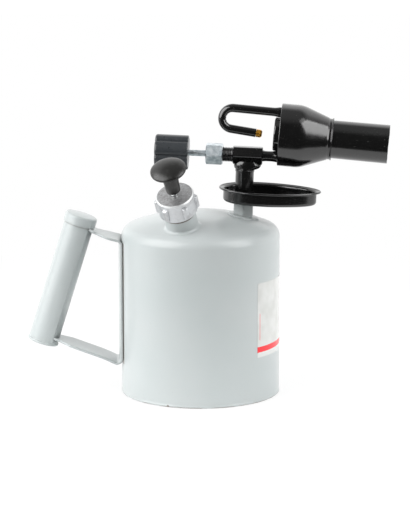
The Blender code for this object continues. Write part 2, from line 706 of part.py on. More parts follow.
def add_check_valve(frames):
    """Housing in the foot of the barrel: a seat, a ball under it and a drilled disc that holds the ball."""
    shelf = BARREL_FOOT - GAP
    outline = [(CHECK_INLET_RADIUS, CHECK_TOP), (BARREL_BORE - GAP, CHECK_TOP), (BARREL_BORE - GAP, shelf)]
    outline += [(BARREL_RADIUS, shelf), (BARREL_RADIUS, CHECK_FOOT), (CHECK_CHAMBER_RADIUS, CHECK_FOOT)]
    outline += [(CHECK_CHAMBER_RADIUS, CHECK_SEAT_FOOT)]
    outline += [(CHECK_INLET_RADIUS, CHECK_SEAT_FOOT + CHECK_CHAMBER_RADIUS - CHECK_INLET_RADIUS)]
    add_turned("check_valve_housing", outline, SMALL_STEPS, "brass", frames["pump"])

    half = arc((0, BALL_CENTRE), CHECK_BALL_RADIUS, -90, 90, BALL_ARC_STEPS)
    ball = [(0, BALL_CENTRE - CHECK_BALL_RADIUS)] + half[1:-1] + [(0, BALL_CENTRE + CHECK_BALL_RADIUS)]
    add_turned("check_valve_ball", ball, TINY_STEPS, "bright steel", frames["pump"])

    radius = CHECK_CHAMBER_RADIUS - GAP
    disc = [(0, CHECK_FOOT), (radius, CHECK_FOOT), (radius, RETAINER_TOP), (0, RETAINER_TOP)]
    retainer = add_turned("ball_retainer", disc, TINY_STEPS, "brass", frames["pump"])
    for number in range(RETAINER_HOLES):
        angle = math.tau * number / RETAINER_HOLES
        hole = add_bore(
            f"retainer_hole_{number + 1}",
            RETAINER_HOLE_RADIUS,
            CHECK_FOOT - OVERRUN,
            RETAINER_TOP + OVERRUN,
            frames["pump"],
            BAR_STEPS,
        )
        hole.location = (RETAINER_HOLE_PLACE * math.cos(angle), RETAINER_HOLE_PLACE * math.sin(angle), 0)
        combine(retainer, hole, "DIFFERENCE")


def add_pump_cap(frames):
    """Screw cap with six lugs round its skirt and a hole for the rod."""
    hole = ROD_RADIUS + GAP
    outline = [(hole, CAP_TOP), (CAP_TOP_RADIUS, CAP_TOP), (CAP_UPPER_RADIUS, CAP_TOP - CAP_SHOULDER)]
    outline += [(CAP_SKIRT_RADIUS, CAP_FOOT), (CAP_BORE, CAP_FOOT)]
    outline += [(CAP_BORE, CAP_CEILING), (hole, CAP_CEILING)]
    cap = add_turned("pump_cap", outline, ROUND_STEPS, "cast alloy", frames["pump"])
    for number in range(CAP_LUGS):
        lug = add_cap_lug(f"cap_lug_{number + 1}", frames["pump"])
        lug.rotation_euler.z = math.radians(CAP_LUG_PHASE) + math.tau * number / CAP_LUGS
        combine(cap, lug, "UNION")


def add_cap_lug(name, frame):
    """One lug, square to the skirt, with a slope at its top. It starts inside the skirt's wall."""
    inner = (CAP_BORE + CAP_SKIRT_RADIUS) / 2
    outer = CAP_SKIRT_RADIUS + CAP_LUG_REACH
    foot = CAP_FOOT + CAP_LUG_LIFT
    top = foot + CAP_LUG_HEIGHT
    side = [(inner, foot), (outer, foot), (outer, top - CAP_LUG_SLOPE), (inner, top)]
    half = CAP_LUG_WIDTH / 2
    sides = [[(out, across, height) for out, height in side] for across in (-half, half)]
    return add_skinned(name, sides, None, frame, looped=False)


def add_pump_rod(frames):
    """Rod from the piston to the knob. A thinner threaded end carries the piston."""
    outline = [(0, ROD_FOOT), (ROD_THREAD_RADIUS, ROD_FOOT), (ROD_THREAD_RADIUS, PISTON_TOP + GAP)]
    outline += [(ROD_RADIUS, PISTON_TOP + GAP), (ROD_RADIUS, ROD_TOP), (0, ROD_TOP)]
    add_turned("pump_rod", outline, SMALL_STEPS, "bright steel", frames["pump"])


def add_pump_knob(frames):
    """Mushroom knob on the rod: a stem that widens upwards, a flat head and a low crown."""
    bore = ROD_RADIUS + GAP
    rim_foot = PUMP_KNOB_HEAD + PUMP_KNOB_UNDERSIDE
    rim_top = rim_foot + PUMP_KNOB_RIM
    outline = [(0, ROD_TOP + GAP), (bore, ROD_TOP + GAP), (bore, PUMP_KNOB_FOOT)]
    outline += [(PUMP_KNOB_STEM_RADIUS, PUMP_KNOB_FOOT), (PUMP_KNOB_NECK_RADIUS, PUMP_KNOB_HEAD)]
    outline.append((PUMP_KNOB_RADIUS * PUMP_KNOB_EDGE_SHARE, rim_foot))
    outline.append((PUMP_KNOB_RADIUS, rim_foot + PUMP_KNOB_RIM * PUMP_KNOB_BELLY_SHARE))
    for angle in np.linspace(0, math.pi / 2, CROWN_STEPS + 1)[:-1]:
        outline.append((PUMP_KNOB_RADIUS * math.cos(angle), rim_top + PUMP_KNOB_CROWN * math.sin(angle)))
    outline.append((0, PUMP_KNOB_TOP))
    add_turned("pump_knob", outline, ROUND_STEPS, "black plastic", frames["pump"])


def add_piston(frames):
    """Plate, leather cup, spreader washer and nut on the foot of the rod."""
    plate_foot = PISTON_TOP - PISTON_PLATE_THICKNESS
    plate = [(PISTON_BORE, plate_foot), (PISTON_PLATE_RADIUS, plate_foot)]
    plate += [(PISTON_PLATE_RADIUS, PISTON_TOP), (PISTON_BORE, PISTON_TOP)]
    add_turned("piston_plate", plate, SMALL_STEPS, "bright steel", frames["pump"])

    web = CUP_TOP - CUP_THICKNESS
    inner = CUP_RADIUS - CUP_THICKNESS * CUP_SKIRT_SHARE
    cup = [(PISTON_BORE, CUP_TOP), (CUP_RADIUS - CUP_THICKNESS, CUP_TOP), (CUP_RADIUS, web)]
    cup += [(CUP_RADIUS, web - CUP_SKIRT), (inner, web - CUP_SKIRT), (inner, web), (PISTON_BORE, web)]
    add_turned("piston_cup", cup, SMALL_STEPS, "leather", frames["pump"])

    spreader_foot = SPREADER_TOP - SPREADER_THICKNESS
    spreader = [(PISTON_BORE, spreader_foot), (SPREADER_RADIUS, spreader_foot)]
    spreader += [(SPREADER_RADIUS, SPREADER_TOP), (PISTON_BORE, SPREADER_TOP)]
    add_turned("piston_spreader", spreader, SMALL_STEPS, "bright steel", frames["pump"])

    nut_foot = PISTON_NUT_TOP - PISTON_NUT_THICKNESS
    nut = [ring(HEX_STEPS, PISTON_BORE, nut_foot)]
    nut += hex_end(PISTON_NUT_ACROSS_FLATS, nut_foot, -1)
    nut += hex_end(PISTON_NUT_ACROSS_FLATS, PISTON_NUT_TOP, 1)
    nut.append(ring(HEX_STEPS, PISTON_BORE, PISTON_NUT_TOP))
    add_skinned("piston_nut", nut, "brass", frames["pump"])


def add_boss_pad(frames):
    """Thin round pad on the dome, under the riser boss."""
    place = riser_place()
    inner = BOSS_STEM_RADIUS + GAP
    top = GAP + PAD_THICKNESS
    levels = [(inner, GAP), (PAD_RADIUS, GAP), (PAD_RADIUS, top - PAD_ROUNDING)]
    levels += [(PAD_RADIUS - PAD_ROUNDING, top), (inner, top)]
    pad = [ring_on_dome(place, HEX_STEPS, radius, above) for radius, above in levels]
    add_skinned("boss_pad", pad, "grey paint", frames["riser"])


def add_riser_boss(frames):
    """Hexagon brazed on the dome: a stem into the tank, a spigot above it and a bore through both."""
    place = riser_place() @ turn(BOSS_TURN, "Z")
    seat = GAP + PAD_THICKNESS + GAP
    socket = DIP_TUBE_RADIUS + GAP
    socket_top = BOSS_SOCKET - BOSS_STEM_DEPTH
    boss = [ring_on_dome(place, HEX_STEPS, BOSS_STEM_RADIUS, seat)]
    boss.append(ring_on_dome(place, HEX_STEPS, hexagon(BOSS_ACROSS_FLATS), seat))
    boss += hex_end(BOSS_ACROSS_FLATS, BOSS_HEIGHT, 1)
    outline = [(BOSS_SPIGOT_RADIUS, BOSS_HEIGHT), (BOSS_SPIGOT_RADIUS, BOSS_SPIGOT_TOP)]
    outline += [(BOSS_BORE, BOSS_SPIGOT_TOP), (BOSS_BORE, socket_top), (socket, socket_top)]
    outline += [(socket, -BOSS_STEM_DEPTH), (BOSS_STEM_RADIUS, -BOSS_STEM_DEPTH)]
    boss += rings(HEX_STEPS, outline)
    piece = add_skinned("riser_boss", boss, "grey paint", frames["riser"])
    piece.rotation_euler.z = math.radians(BOSS_TURN)


def dip_tube_foot():
    """Height of the dip tube's lower end along the leaning riser's axis."""
    return -(dome_height(RISER_DISTANCE) - DIP_TUBE_LIFT) / math.cos(math.radians(RISER_LEAN))


def add_dip_tube(frames):
    foot = dip_tube_foot()
    top = BOSS_SOCKET - BOSS_STEM_DEPTH - GAP
    bore = DIP_TUBE_RADIUS - DIP_TUBE_WALL
    outline = [(bore, foot), (DIP_TUBE_RADIUS, foot), (DIP_TUBE_RADIUS, top), (bore, top)]
    add_turned("dip_tube", outline, TINY_STEPS, "brass", frames["riser"])


def add_dip_filter(frames):
    """Gauze cup on the foot of the dip tube. Cross holes stand for its mesh."""
    inner = DIP_TUBE_RADIUS + GAP
    outer = inner + FILTER_WALL
    foot = dip_tube_foot() - FILTER_DROP
    floor = foot + FILTER_WALL
    top = foot + FILTER_HEIGHT
    outline = [(0, foot), (outer, foot), (outer, top), (inner, top), (inner, floor), (0, floor)]
    cup = add_turned("dip_filter", outline, TINY_STEPS, "brass", frames["riser"])
    reach = outer + OVERRUN
    for number in range(FILTER_BARS):
        name = f"filter_bar_{number + 1}"
        bar = add_bore(name, FILTER_HOLE_RADIUS, -reach, reach, frames["riser"], BAR_STEPS)
        bar.location.z = floor + FILTER_HOLE_RADIUS + (top - floor) * number / (FILTER_BARS + 1)
        bar.rotation_euler = (math.pi / 2, 0, math.pi * number / FILTER_BARS)
        combine(cup, bar, "DIFFERENCE")


def add_priming_tray(frames):
    """Oval dish round the riser, wider towards the handle, with a wall that flares to a thin rim."""
    floor_length = TRAY_FLOOR_LENGTH / 2
    floor_width = TRAY_FLOOR_WIDTH / 2
    flare_length = TRAY_RIM_LENGTH / 2 - floor_length
    flare_width = TRAY_RIM_WIDTH / 2 - floor_width
    wall = TRAY_DEPTH - TRAY_CORNER
    outside = []
    inside = []
    for height, flare in TRAY_WALL_SHARES:
        length = floor_length + flare_length * flare
        width = floor_width + flare_width * flare
        outside.append((length, width, TRAY_CORNER + wall * height))
        inside.append((length - TRAY_THICKNESS, width - TRAY_THICKNESS, TRAY_CORNER + wall * height))
    for side, radius in ((outside, TRAY_CORNER), (inside, TRAY_CORNER - TRAY_THICKNESS)):
        for angle in (math.pi / 4, math.pi / 2):
            inset = TRAY_CORNER - radius * math.cos(angle)
            height = TRAY_CORNER - radius * math.sin(angle)
            side.insert(0, (floor_length - inset, floor_width - inset, height))
    dish = [tray_ring(0, 0, 0)]
    dish += [tray_ring(*place) for place in outside + inside[::-1]]
    dish.append(tray_ring(0, 0, TRAY_THICKNESS))
    tray = add_skinned("priming_tray", dish, "black enamel", frames["tray"])
    top = TRAY_THICKNESS + OVERRUN
    hole = add_bore("tray_hole", SPIGOT_CLEARANCE_RADIUS + GAP, -OVERRUN, top, frames["tray"])
    combine(tray, hole, "DIFFERENCE")


def tray_ring(half_length, half_width, height):
    """One egg-shaped outline of the tray, round its middle."""
    angle = np.arange(TRAY_STEPS) * math.tau / TRAY_STEPS
    along = TRAY_CENTRE + half_length * np.cos(angle)
    across = half_width * (1 - TRAY_TAPER_SHARE * np.cos(angle)) * np.sin(angle)
    return np.column_stack(np.broadcast_arrays(along, across, height))


def add_riser_washer(frames):
    inner = SPIGOT_CLEARANCE_RADIUS
    top = WASHER_FOOT + WASHER_THICKNESS
    outline = [(inner, WASHER_FOOT), (WASHER_RADIUS, WASHER_FOOT), (WASHER_RADIUS, top), (inner, top)]
    add_turned("riser_washer", outline, SMALL_STEPS, "fibre", frames["riser"])


def add_riser_pipe(frames):
    """Pipe screwed on the boss spigot, with a rounded ring at its top and a socket at each end."""
    ring_foot = RISER_TOP - RISER_RING_HEIGHT
    edge = RISER_RING_HEIGHT / 4
    lower = BOSS_SPIGOT_TOP + GAP
    upper = RISER_TOP - RISER_SOCKET
    outline = [(SPIGOT_CLEARANCE_RADIUS, RISER_FOOT), (RISER_RADIUS, RISER_FOOT), (RISER_RADIUS, ring_foot)]
    outline += [(RISER_RING_RADIUS, ring_foot + edge), (RISER_RING_RADIUS, RISER_TOP - edge)]
    outline += [(RISER_RADIUS, RISER_TOP), (TEE_SPIGOT_RADIUS + GAP, RISER_TOP)]
    outline += [(TEE_SPIGOT_RADIUS + GAP, upper), (RISER_BORE, upper), (RISER_BORE, lower)]
    outline += [(SPIGOT_CLEARANCE_RADIUS, lower)]
    add_turned("riser_pipe", outline, SMALL_STEPS, "black enamel", frames["riser"])


def add_tee_body(frames):
    """Hexagonal bar across the riser: seat and outlet in front, neck behind, bead and spigot below."""
    seat_end = SEAT_START + TEE_CHAMBER_RADIUS - SEAT_RADIUS
    socket = FEED_RADIUS + GAP
    bar = [ring(HEX_STEPS, socket, -TEE_FRONT)]
    bar += hex_end(TEE_ACROSS_FLATS, -TEE_FRONT, -1)
    bar += hex_end(TEE_ACROSS_FLATS, TEE_BACK, 1)
    outline = [(TEE_NECK_RADIUS, TEE_BACK), (TEE_NECK_RADIUS, TEE_NECK_END), (PACKING_RADIUS, TEE_NECK_END)]
    outline += [(PACKING_RADIUS, PACKING_FLOOR), (SPINDLE_CLEARANCE, PACKING_FLOOR)]
    outline += [(SPINDLE_CLEARANCE, TEE_CHAMBER_LENGTH), (TEE_CHAMBER_RADIUS, TEE_CHAMBER_LENGTH)]
    outline += [(TEE_CHAMBER_RADIUS, -SEAT_START), (SEAT_RADIUS, -seat_end)]
    outline.append((SEAT_RADIUS, -seat_end - SEAT_LENGTH))
    outline += [(OUTLET_RADIUS, -seat_end - SEAT_LENGTH), (OUTLET_RADIUS, FEED_SOCKET - TEE_FRONT)]
    outline += [(socket, FEED_SOCKET - TEE_FRONT)]
    bar += rings(HEX_STEPS, outline)
    tee = add_skinned("tee_body", bar, "black enamel", frames["valve"])
    tee.rotation_euler.z = math.radians(TEE_TURN)

    spigot_foot = TEE_FOOT - TEE_SPIGOT
    bead_top = TEE_FOOT + BEAD_HEIGHT
    foot = rings(HEX_STEPS, [(TEE_SPIGOT_RADIUS, spigot_foot), (TEE_SPIGOT_RADIUS, TEE_FOOT)])
    foot.append(ring(HEX_STEPS, RISER_RADIUS, TEE_FOOT))
    foot.append(bead_ring(1.0, bead_top))
    foot.append(bead_ring(BEAD_INSIDE_SHARE, bead_top + BEAD_SINK))
    foot_piece = add_skinned("tee_foot", foot, None, frames["riser"], looped=False)
    combine(tee, foot_piece, "UNION")
    inlet = add_bore("inlet_bore", TEE_INLET_RADIUS, spigot_foot - OVERRUN, VALVE_HEIGHT, frames["riser"])
    combine(tee, inlet, "DIFFERENCE")


def bead_ring(share, height):
    """One oval ring of the braze bead under the valve body, nearly as long as the bar."""
    angle = np.arange(HEX_STEPS) * math.tau / HEX_STEPS
    along = (BEAD_FRONT - BEAD_BACK) / 2 + (BEAD_FRONT + BEAD_BACK) / 2 * share * np.cos(angle)
    across = BEAD_WIDTH / 2 * share * np.sin(angle)
    return np.column_stack(np.broadcast_arrays(along, across, height))


def add_gland(frames):
    """Nut on the valve body's neck, and the packing and follower that it presses round the spindle."""
    thread = TEE_NECK_RADIUS + GAP
    nut = [ring(HEX_STEPS, thread, NUT_START)]
    nut += hex_end(NUT_ACROSS_FLATS, NUT_START, -1)
    nut += hex_end(NUT_ACROSS_FLATS, NUT_END, 1)
    inside = [(SPINDLE_CLEARANCE, NUT_END), (SPINDLE_CLEARANCE, NUT_CEILING), (thread, NUT_CEILING)]
    nut += rings(HEX_STEPS, inside)
    gland_nut = add_skinned("gland_nut", nut, "zinc plate", frames["valve"])
    gland_nut.rotation_euler.z = math.radians(NUT_TURN)

    outer = PACKING_RADIUS - GAP
    top = PACKING_FOOT + PACKING_LENGTH
    packing = [(SPINDLE_CLEARANCE, PACKING_FOOT), (outer, PACKING_FOOT)]
    packing += [(outer, top), (SPINDLE_CLEARANCE, top)]
    add_turned("gland_packing", packing, SMALL_STEPS, "fibre", frames["valve"])

    shoulder = FOLLOWER_TOP - FOLLOWER_FLANGE
    follower = [(SPINDLE_CLEARANCE, FOLLOWER_FOOT), (outer, FOLLOWER_FOOT), (outer, shoulder)]
    follower += [(FOLLOWER_FLANGE_RADIUS, shoulder), (FOLLOWER_FLANGE_RADIUS, FOLLOWER_TOP)]
    follower += [(SPINDLE_CLEARANCE, FOLLOWER_TOP)]
    add_turned("gland_follower", follower, SMALL_STEPS, "brass", frames["valve"])


def add_valve_needle(frames):
    """Cone that closes the seat. Its rear pin turns in the spindle's bore, so that it need not turn."""
    cone = TEE_CHAMBER_RADIUS + SEAT_START - NEEDLE_SEAT_GAP * math.sqrt(2)
    outline = [(0, NEEDLE_TIP_RADIUS - cone), (NEEDLE_TIP_RADIUS, NEEDLE_TIP_RADIUS - cone)]
    outline += [(NEEDLE_RADIUS, NEEDLE_RADIUS - cone), (NEEDLE_RADIUS, -GAP), (NEEDLE_PIN_RADIUS, -GAP)]
    outline += [(NEEDLE_PIN_RADIUS, NEEDLE_PIN_LENGTH), (0, NEEDLE_PIN_LENGTH)]
    add_turned("valve_needle", outline, TINY_STEPS, "bright steel", frames["valve"])


def add_valve_spindle(frames):
    """Threaded rod through the gland, with a bore in front for the needle and one behind for the screw."""
    needle_bore = NEEDLE_PIN_RADIUS + GAP
    screw_bore = SCREW_RADIUS + GAP
    screw_floor = KNOB_END - KNOB_RECESS_DEPTH - SCREW_LENGTH - GAP
    outline = [(0, NEEDLE_PIN_LENGTH + GAP), (needle_bore, NEEDLE_PIN_LENGTH + GAP), (needle_bore, 0)]
    outline += [(SPINDLE_THREAD_RADIUS, 0), (SPINDLE_THREAD_RADIUS, SPINDLE_THREAD_LENGTH)]
    outline += [(SPINDLE_RADIUS, SPINDLE_THREAD_LENGTH), (SPINDLE_RADIUS, SPINDLE_END)]
    outline += [(screw_bore, SPINDLE_END), (screw_bore, screw_floor), (0, screw_floor)]
    add_turned("valve_spindle", outline, SMALL_STEPS, "zinc plate", frames["valve"])


def add_valve_knob(frames):
    """Moulded knob with six broad lobes and a narrow groove between each two."""
    spacing = 360 / KNOB_LOBES
    from_groove = (np.arange(KNOB_STEPS) * 360 / KNOB_STEPS + spacing / 2) % spacing - spacing / 2
    groove = KNOB_GROOVE_DEPTH * np.exp(-((2 * from_groove / KNOB_GROOVE_WIDTH) ** 2))
    walls = []
    for start, end, height in ((180, 90, KNOB_START + KNOB_CORNER), (90, 0, KNOB_END - KNOB_CORNER)):
        for corner in np.radians(np.linspace(start, end, CORNER_STEPS + 1)):
            radius = KNOB_RADIUS - groove - KNOB_CORNER * (1 - math.sin(corner))
            walls.append(ring(KNOB_STEPS, radius, height + KNOB_CORNER * math.cos(corner)))
    recess = KNOB_END - KNOB_RECESS_DEPTH
    outline = [(KNOB_RECESS_RADIUS, KNOB_END), (KNOB_RECESS_RADIUS, recess), (SCREW_RADIUS + GAP, recess)]
    outline += [(SCREW_RADIUS + GAP, recess - KNOB_WEB), (SPINDLE_CLEARANCE, recess - KNOB_WEB)]
    outline += [(SPINDLE_CLEARANCE, KNOB_START)]
    walls += rings(KNOB_STEPS, outline)
    knob = add_skinned("valve_knob", walls, "black plastic", frames["valve"])
    knob.rotation_euler.z = math.radians(KNOB_GROOVE_PHASE)


def add_knob_screw(frames):
    """Cheese head screw that holds the knob on the spindle."""
    seat = KNOB_END - KNOB_RECESS_DEPTH + GAP
    foot = seat - SCREW_LENGTH
    top = seat + SCREW_HEAD_HEIGHT
    outline = [(0, foot), (SCREW_RADIUS, foot), (SCREW_RADIUS, seat), (SCREW_HEAD_RADIUS, seat)]
    outline += [(SCREW_HEAD_RADIUS, top), (0, top)]
    add_turned("knob_screw", outline, TINY_STEPS, "zinc plate", frames["valve"])


def add_feed_tube(frames):
    """Short tube from the valve body's socket into the bell."""
    start = FEED_SOCKET - TEE_FRONT - GAP
    end = -(BURNER_START + TUBE_END_DEPTH)
    outline = [(FEED_BORE, end), (FEED_RADIUS, end), (FEED_RADIUS, start), (FEED_BORE, start)]
    add_turned("feed_tube", outline, SMALL_STEPS, "black enamel", frames["valve"])


def vapour_upper_start():
    """Where the vapour tube's bend begins, in the riser's frame."""
    slope = math.radians(VAPOUR_UPPER_SLOPE)
    return Vector((VAPOUR_BEND_X, 0, VAPOUR_BEND_HEIGHT)) + VAPOUR_BEND_RADIUS * Vector(
        (math.sin(slope), 0, math.cos(slope))
    )


def vapour_upper_end():
    """Where the vapour tube ends in the bell, in the riser's frame."""
    start = vapour_upper_start()
    reach = BURNER_START + TUBE_END_DEPTH - start.x
    return start + Vector((reach, 0, -reach * math.tan(math.radians(VAPOUR_UPPER_SLOPE))))


def vapour_lower_start():
    """Where the vapour tube's bend ends, in the riser's frame."""
    slope = math.radians(VAPOUR_LOWER_SLOPE)
    return Vector((VAPOUR_BEND_X, 0, VAPOUR_BEND_HEIGHT)) - VAPOUR_BEND_RADIUS * Vector(
        (math.sin(slope), 0, math.cos(slope))
    )


def vapour_lower_end():
    """Where the jet is screwed into the vapour tube, in the riser's frame."""
    start = vapour_lower_start()
    reach = VAPOUR_LOWER_END - start.x
    return start + Vector((reach, 0, -reach * math.tan(math.radians(VAPOUR_LOWER_SLOPE))))


def vapour_path():
    """Middle line of the vapour tube: out of the bell, round the bend and back to the jet."""
    centre = Vector((VAPOUR_BEND_X, 0, VAPOUR_BEND_HEIGHT))
    path = [vapour_upper_end()]
    for degrees in np.linspace(90 - VAPOUR_UPPER_SLOPE, 270 - VAPOUR_LOWER_SLOPE, BEND_STEPS + 1):
        angle = math.radians(degrees)
        path.append(centre + VAPOUR_BEND_RADIUS * Vector((math.cos(angle), 0, math.sin(angle))))
    path.append(vapour_lower_end())
    return path


def add_vapour_tube(frames):
    path = vapour_path()
    add_tube("vapour_tube", path, TUBE_RADIUS, TUBE_BORE, TINY_STEPS, "black enamel", frames["riser"])


def add_vaporiser_loop(frames):
    """Tube inside the bell that carries the fuel from the feed tube round the flame to the vapour tube."""
    to_burner = burner_place().inverted()
    low = (to_burner @ Vector((BURNER_START, 0, VALVE_HEIGHT))).x
    high = (to_burner @ vapour_upper_end()).x
    side = BELL_BORE - TUBE_RADIUS - LOOP_CLEARANCE
    start = TUBE_END_DEPTH - LOOP_LAP
    end = TUBE_END_DEPTH + GAP + BELL_WALL
    corners = [(low, 0, start), (low, 0, LOOP_DEPTH), (low, side, LOOP_DEPTH)]
    corners += [(high, side, LOOP_DEPTH), (high, 0, LOOP_DEPTH), (high, 0, end)]
    elbow = side * LOOP_ELBOW_SHARE
    bend = side * LOOP_BEND_SHARE
    path = rounded([Vector(corner) for corner in corners], (elbow, bend, bend, elbow), ARC_STEPS)
    add_tube("vaporiser_loop", path, TUBE_RADIUS, TUBE_BORE, TINY_STEPS, "black enamel", frames["burner"])


def add_jet_nozzle(frames):
    """Brass jet in the end of the vapour tube, with a shank in its bore and a fine orifice."""
    shank = TUBE_BORE - GAP
    tip = GAP + JET_LENGTH
    orifice_foot = tip - JET_ORIFICE_LENGTH
    outline = [(JET_BORE, -JET_SHANK_LENGTH), (shank, -JET_SHANK_LENGTH), (shank, GAP), (JET_RADIUS, GAP)]
    outline += [(JET_RADIUS, tip - JET_TIP_LENGTH), (JET_TIP_RADIUS, tip), (JET_ORIFICE, tip)]
    outline += [(JET_ORIFICE, orifice_foot), (JET_BORE, orifice_foot)]
    add_turned("jet_nozzle", outline, SMALL_STEPS, "brass", frames["jet"])


def add_burner_bell(frames):
    """Shell of the burner: a cylinder, a cone and a neck with a groove and a lip round the flame tube."""
    rim = BELL_RIM_ROUNDING
    groove = BELL_NECK_RADIUS - BELL_NECK_STEP
    outline = [(BELL_BORE + rim / 2, 0), (BELL_RADIUS - rim, 0), (BELL_RADIUS, rim)]
    outline += [(BELL_RADIUS, BELL_CYLINDER), (BELL_NECK_RADIUS, BELL_CONE_END)]
    outline.append((groove, BELL_CONE_END + BELL_GROOVE * GROOVE_START_SHARE))
    outline.append((groove, BELL_CONE_END + BELL_GROOVE))
    outline.append((BELL_NECK_RADIUS, BELL_CONE_END + BELL_GROOVE * GROOVE_END_SHARE))
    outline += [(BELL_NECK_RADIUS, BELL_END), (FLAME_TUBE_SEAT, BELL_END)]
    outline.append((FLAME_TUBE_SEAT, BELL_CONE_END - BELL_RIM_ROUNDING))
    outline += [(BELL_BORE, BELL_CYLINDER - BELL_WALL / 4), (BELL_BORE, rim / 2)]
    add_turned("burner_bell", outline, BELL_STEPS, "black enamel", frames["burner"])


def add_bell_back_plate(frames):
    """Disc in the rear of the bell, with holes for the air collar, the feed tube and the vapour tube."""
    outline = [(AIR_TUBE_RADIUS + GAP, PLATE_RECESS), (PLATE_RADIUS, PLATE_RECESS)]
    outline += [(PLATE_RADIUS, PLATE_END), (AIR_TUBE_RADIUS + GAP, PLATE_END)]
    plate = add_turned("bell_back_plate", outline, BELL_STEPS, "black enamel", frames["burner"])
    end = -(BURNER_START + TUBE_END_DEPTH)
    feed_hole = add_bore("feed_hole", FEED_RADIUS + GAP, end, end + TUBE_END_DEPTH + OVERRUN, frames["valve"])
    run = [vapour_upper_end(), vapour_upper_start()]
    vapour_hole = add_tube("vapour_hole", run, TUBE_RADIUS + GAP, 0, SMALL_STEPS, None, frames["riser"])
    combine(plate, feed_hole, "DIFFERENCE")
    combine(plate, vapour_hole, "DIFFERENCE")


def add_air_collar(frames):
    """Collar behind the back plate, drawn out into the tube that the air and the vapour mix in."""
    face = PLATE_RECESS - GAP
    rear = -COLLAR_LENGTH
    outline = [(AIR_BORE + COLLAR_FLARE, rear), (COLLAR_RADIUS - COLLAR_ROUNDING, rear)]
    outline += [(COLLAR_RADIUS, rear + COLLAR_ROUNDING), (COLLAR_RADIUS, face), (AIR_TUBE_RADIUS, face)]
    outline += [(AIR_TUBE_RADIUS, AIR_TUBE_DEPTH), (AIR_BORE, AIR_TUBE_DEPTH)]
    outline.append((AIR_BORE, rear + COLLAR_FLARE))
    add_turned("air_collar", outline, ROUND_STEPS, "black enamel", frames["burner"])


def add_flame_tube(frames):
    """Tube in the bell's neck, a little wider at its mouth."""
    start = BELL_END - FLAME_TUBE_INSET
    end = BELL_END + FLAME_TUBE_REACH
    outline = [(FLAME_TUBE_RADIUS - FLAME_TUBE_WALL, start), (FLAME_TUBE_RADIUS, start)]
    outline += [(FLAME_TUBE_RADIUS, BELL_END), (FLAME_TUBE_MOUTH_RADIUS, end)]
    outline += [(FLAME_TUBE_MOUTH_RADIUS - FLAME_TUBE_WALL, end)]
    add_turned("flame_tube", outline, ROUND_STEPS, "black enamel", frames["burner"])


def strap_corners():
    """The strap's middle line, from its hooked end in the grip's top to its lower end on the grip's axis."""
    upper_tip = on_grip(GRIP_RADIUS * UPPER_TIP_SHARE, GRIP_LENGTH - UPPER_TIP_DROP)
    upper_bend = on_grip(GRIP_RADIUS * UPPER_BEND_SHARE, GRIP_LENGTH - UPPER_BEND_DROP)
    upper_corner = Vector((STRAP_X, 0, STRAP_TOP))
    lower_corner = Vector((STRAP_X, 0, STRAP_BOTTOM))
    return [upper_tip, upper_bend, upper_corner, lower_corner, on_grip(0, LOWER_TAB_HEIGHT)]


def strap_rings(grow):
    """Outlines across the strap: curved to the tank's wall, flat further out and narrow in the grip."""
    radii = (TAB_HOOK_RADIUS, STRAP_CORNER_RADIUS, STRAP_CORNER_RADIUS)
    path = finer(rounded(strap_corners(), radii, INNER_ARC_STEPS))
    travelled = np.cumsum([0.0] + [(after - before).length for before, after in zip(path, path[1:])])
    corners = [(point.x, point.z) for point in path]
    on_wall = [place for place, (x, _) in enumerate(corners) if abs(x - STRAP_X) < SAME_LINE_DISTANCE]
    outlines = []
    for place, point in enumerate(path):
        ahead = (path[min(place + 1, len(path) - 1)] - path[max(place - 1, 0)]).normalized()
        inward = Vector((-ahead.z, 0, ahead.x))
        from_end = min(travelled[place], travelled[-1] - travelled[place])
        off_wall = max(travelled[on_wall[0]] - travelled[place], travelled[place] - travelled[on_wall[-1]], 0)
        half = np.interp(
            from_end,
            (0, TAB_TIP_LENGTH, TAB_LENGTH, TAB_LENGTH + TAB_SHOULDER),
            (TAB_TIP_WIDTH / 2, TAB_WIDTH / 2, TAB_WIDTH / 2, STRAP_WIDTH / 2),
        )
        camber = max(1 - off_wall / STRAP_CAMBER_FADE, 0) ** 2
        across = np.linspace(-1, 1, STRAP_WIDTH_POINTS) * (half + grow)
        dish = camber * (-STRAP_X - np.sqrt(STRAP_X**2 - across**2))
        side = STRAP_THICKNESS / 2 + grow
        outer = [point + inward * (depth - side) + Vector((0, wide, 0)) for wide, depth in zip(across, dish)]
        inner = [point + inward * (depth + side) + Vector((0, wide, 0)) for wide, depth in zip(across, dish)]
        outlines.append(outer + inner[::-1])
    return outlines


def finer(path):
    """The same path with extra points on its long runs, apart from the one down the tank's wall."""
    spacing = TAB_SHOULDER / 2
    points = [path[0]]
    for before, after in zip(path, path[1:]):
        upright = abs(after.x - before.x) < SAME_LINE_DISTANCE
        parts = 1 if upright else max(1, round((after - before).length / spacing))
        points += [before.lerp(after, part / parts) for part in range(1, parts + 1)]
    return points


def add_handle_strap(frames):
    """Flat bar bent to a C: down the tank's wall, and out at both ends to the grip."""
    add_skinned("handle_strap", strap_rings(0), "grey paint", frames["tank"], looped=False)


def add_handle_grip(frames):
    """Tube with a slot for each end of the strap and a rolled lip round its open lower end."""
    lip = GRIP_RADIUS + GRIP_LIP
    outline = [(GRIP_BORE, 0), (GRIP_RADIUS, 0), (lip, GRIP_LIP_HEIGHT / 3), (lip, GRIP_LIP_HEIGHT * 2 / 3)]
    outline += [(GRIP_RADIUS, GRIP_LIP_HEIGHT), (GRIP_RADIUS, GRIP_LENGTH), (GRIP_BORE, GRIP_LENGTH)]
    grip = add_turned("handle_grip", outline, ROUND_STEPS, "grey paint", frames["grip"])
    combine(grip, add_strap_slots("grip_slots", frames), "DIFFERENCE")


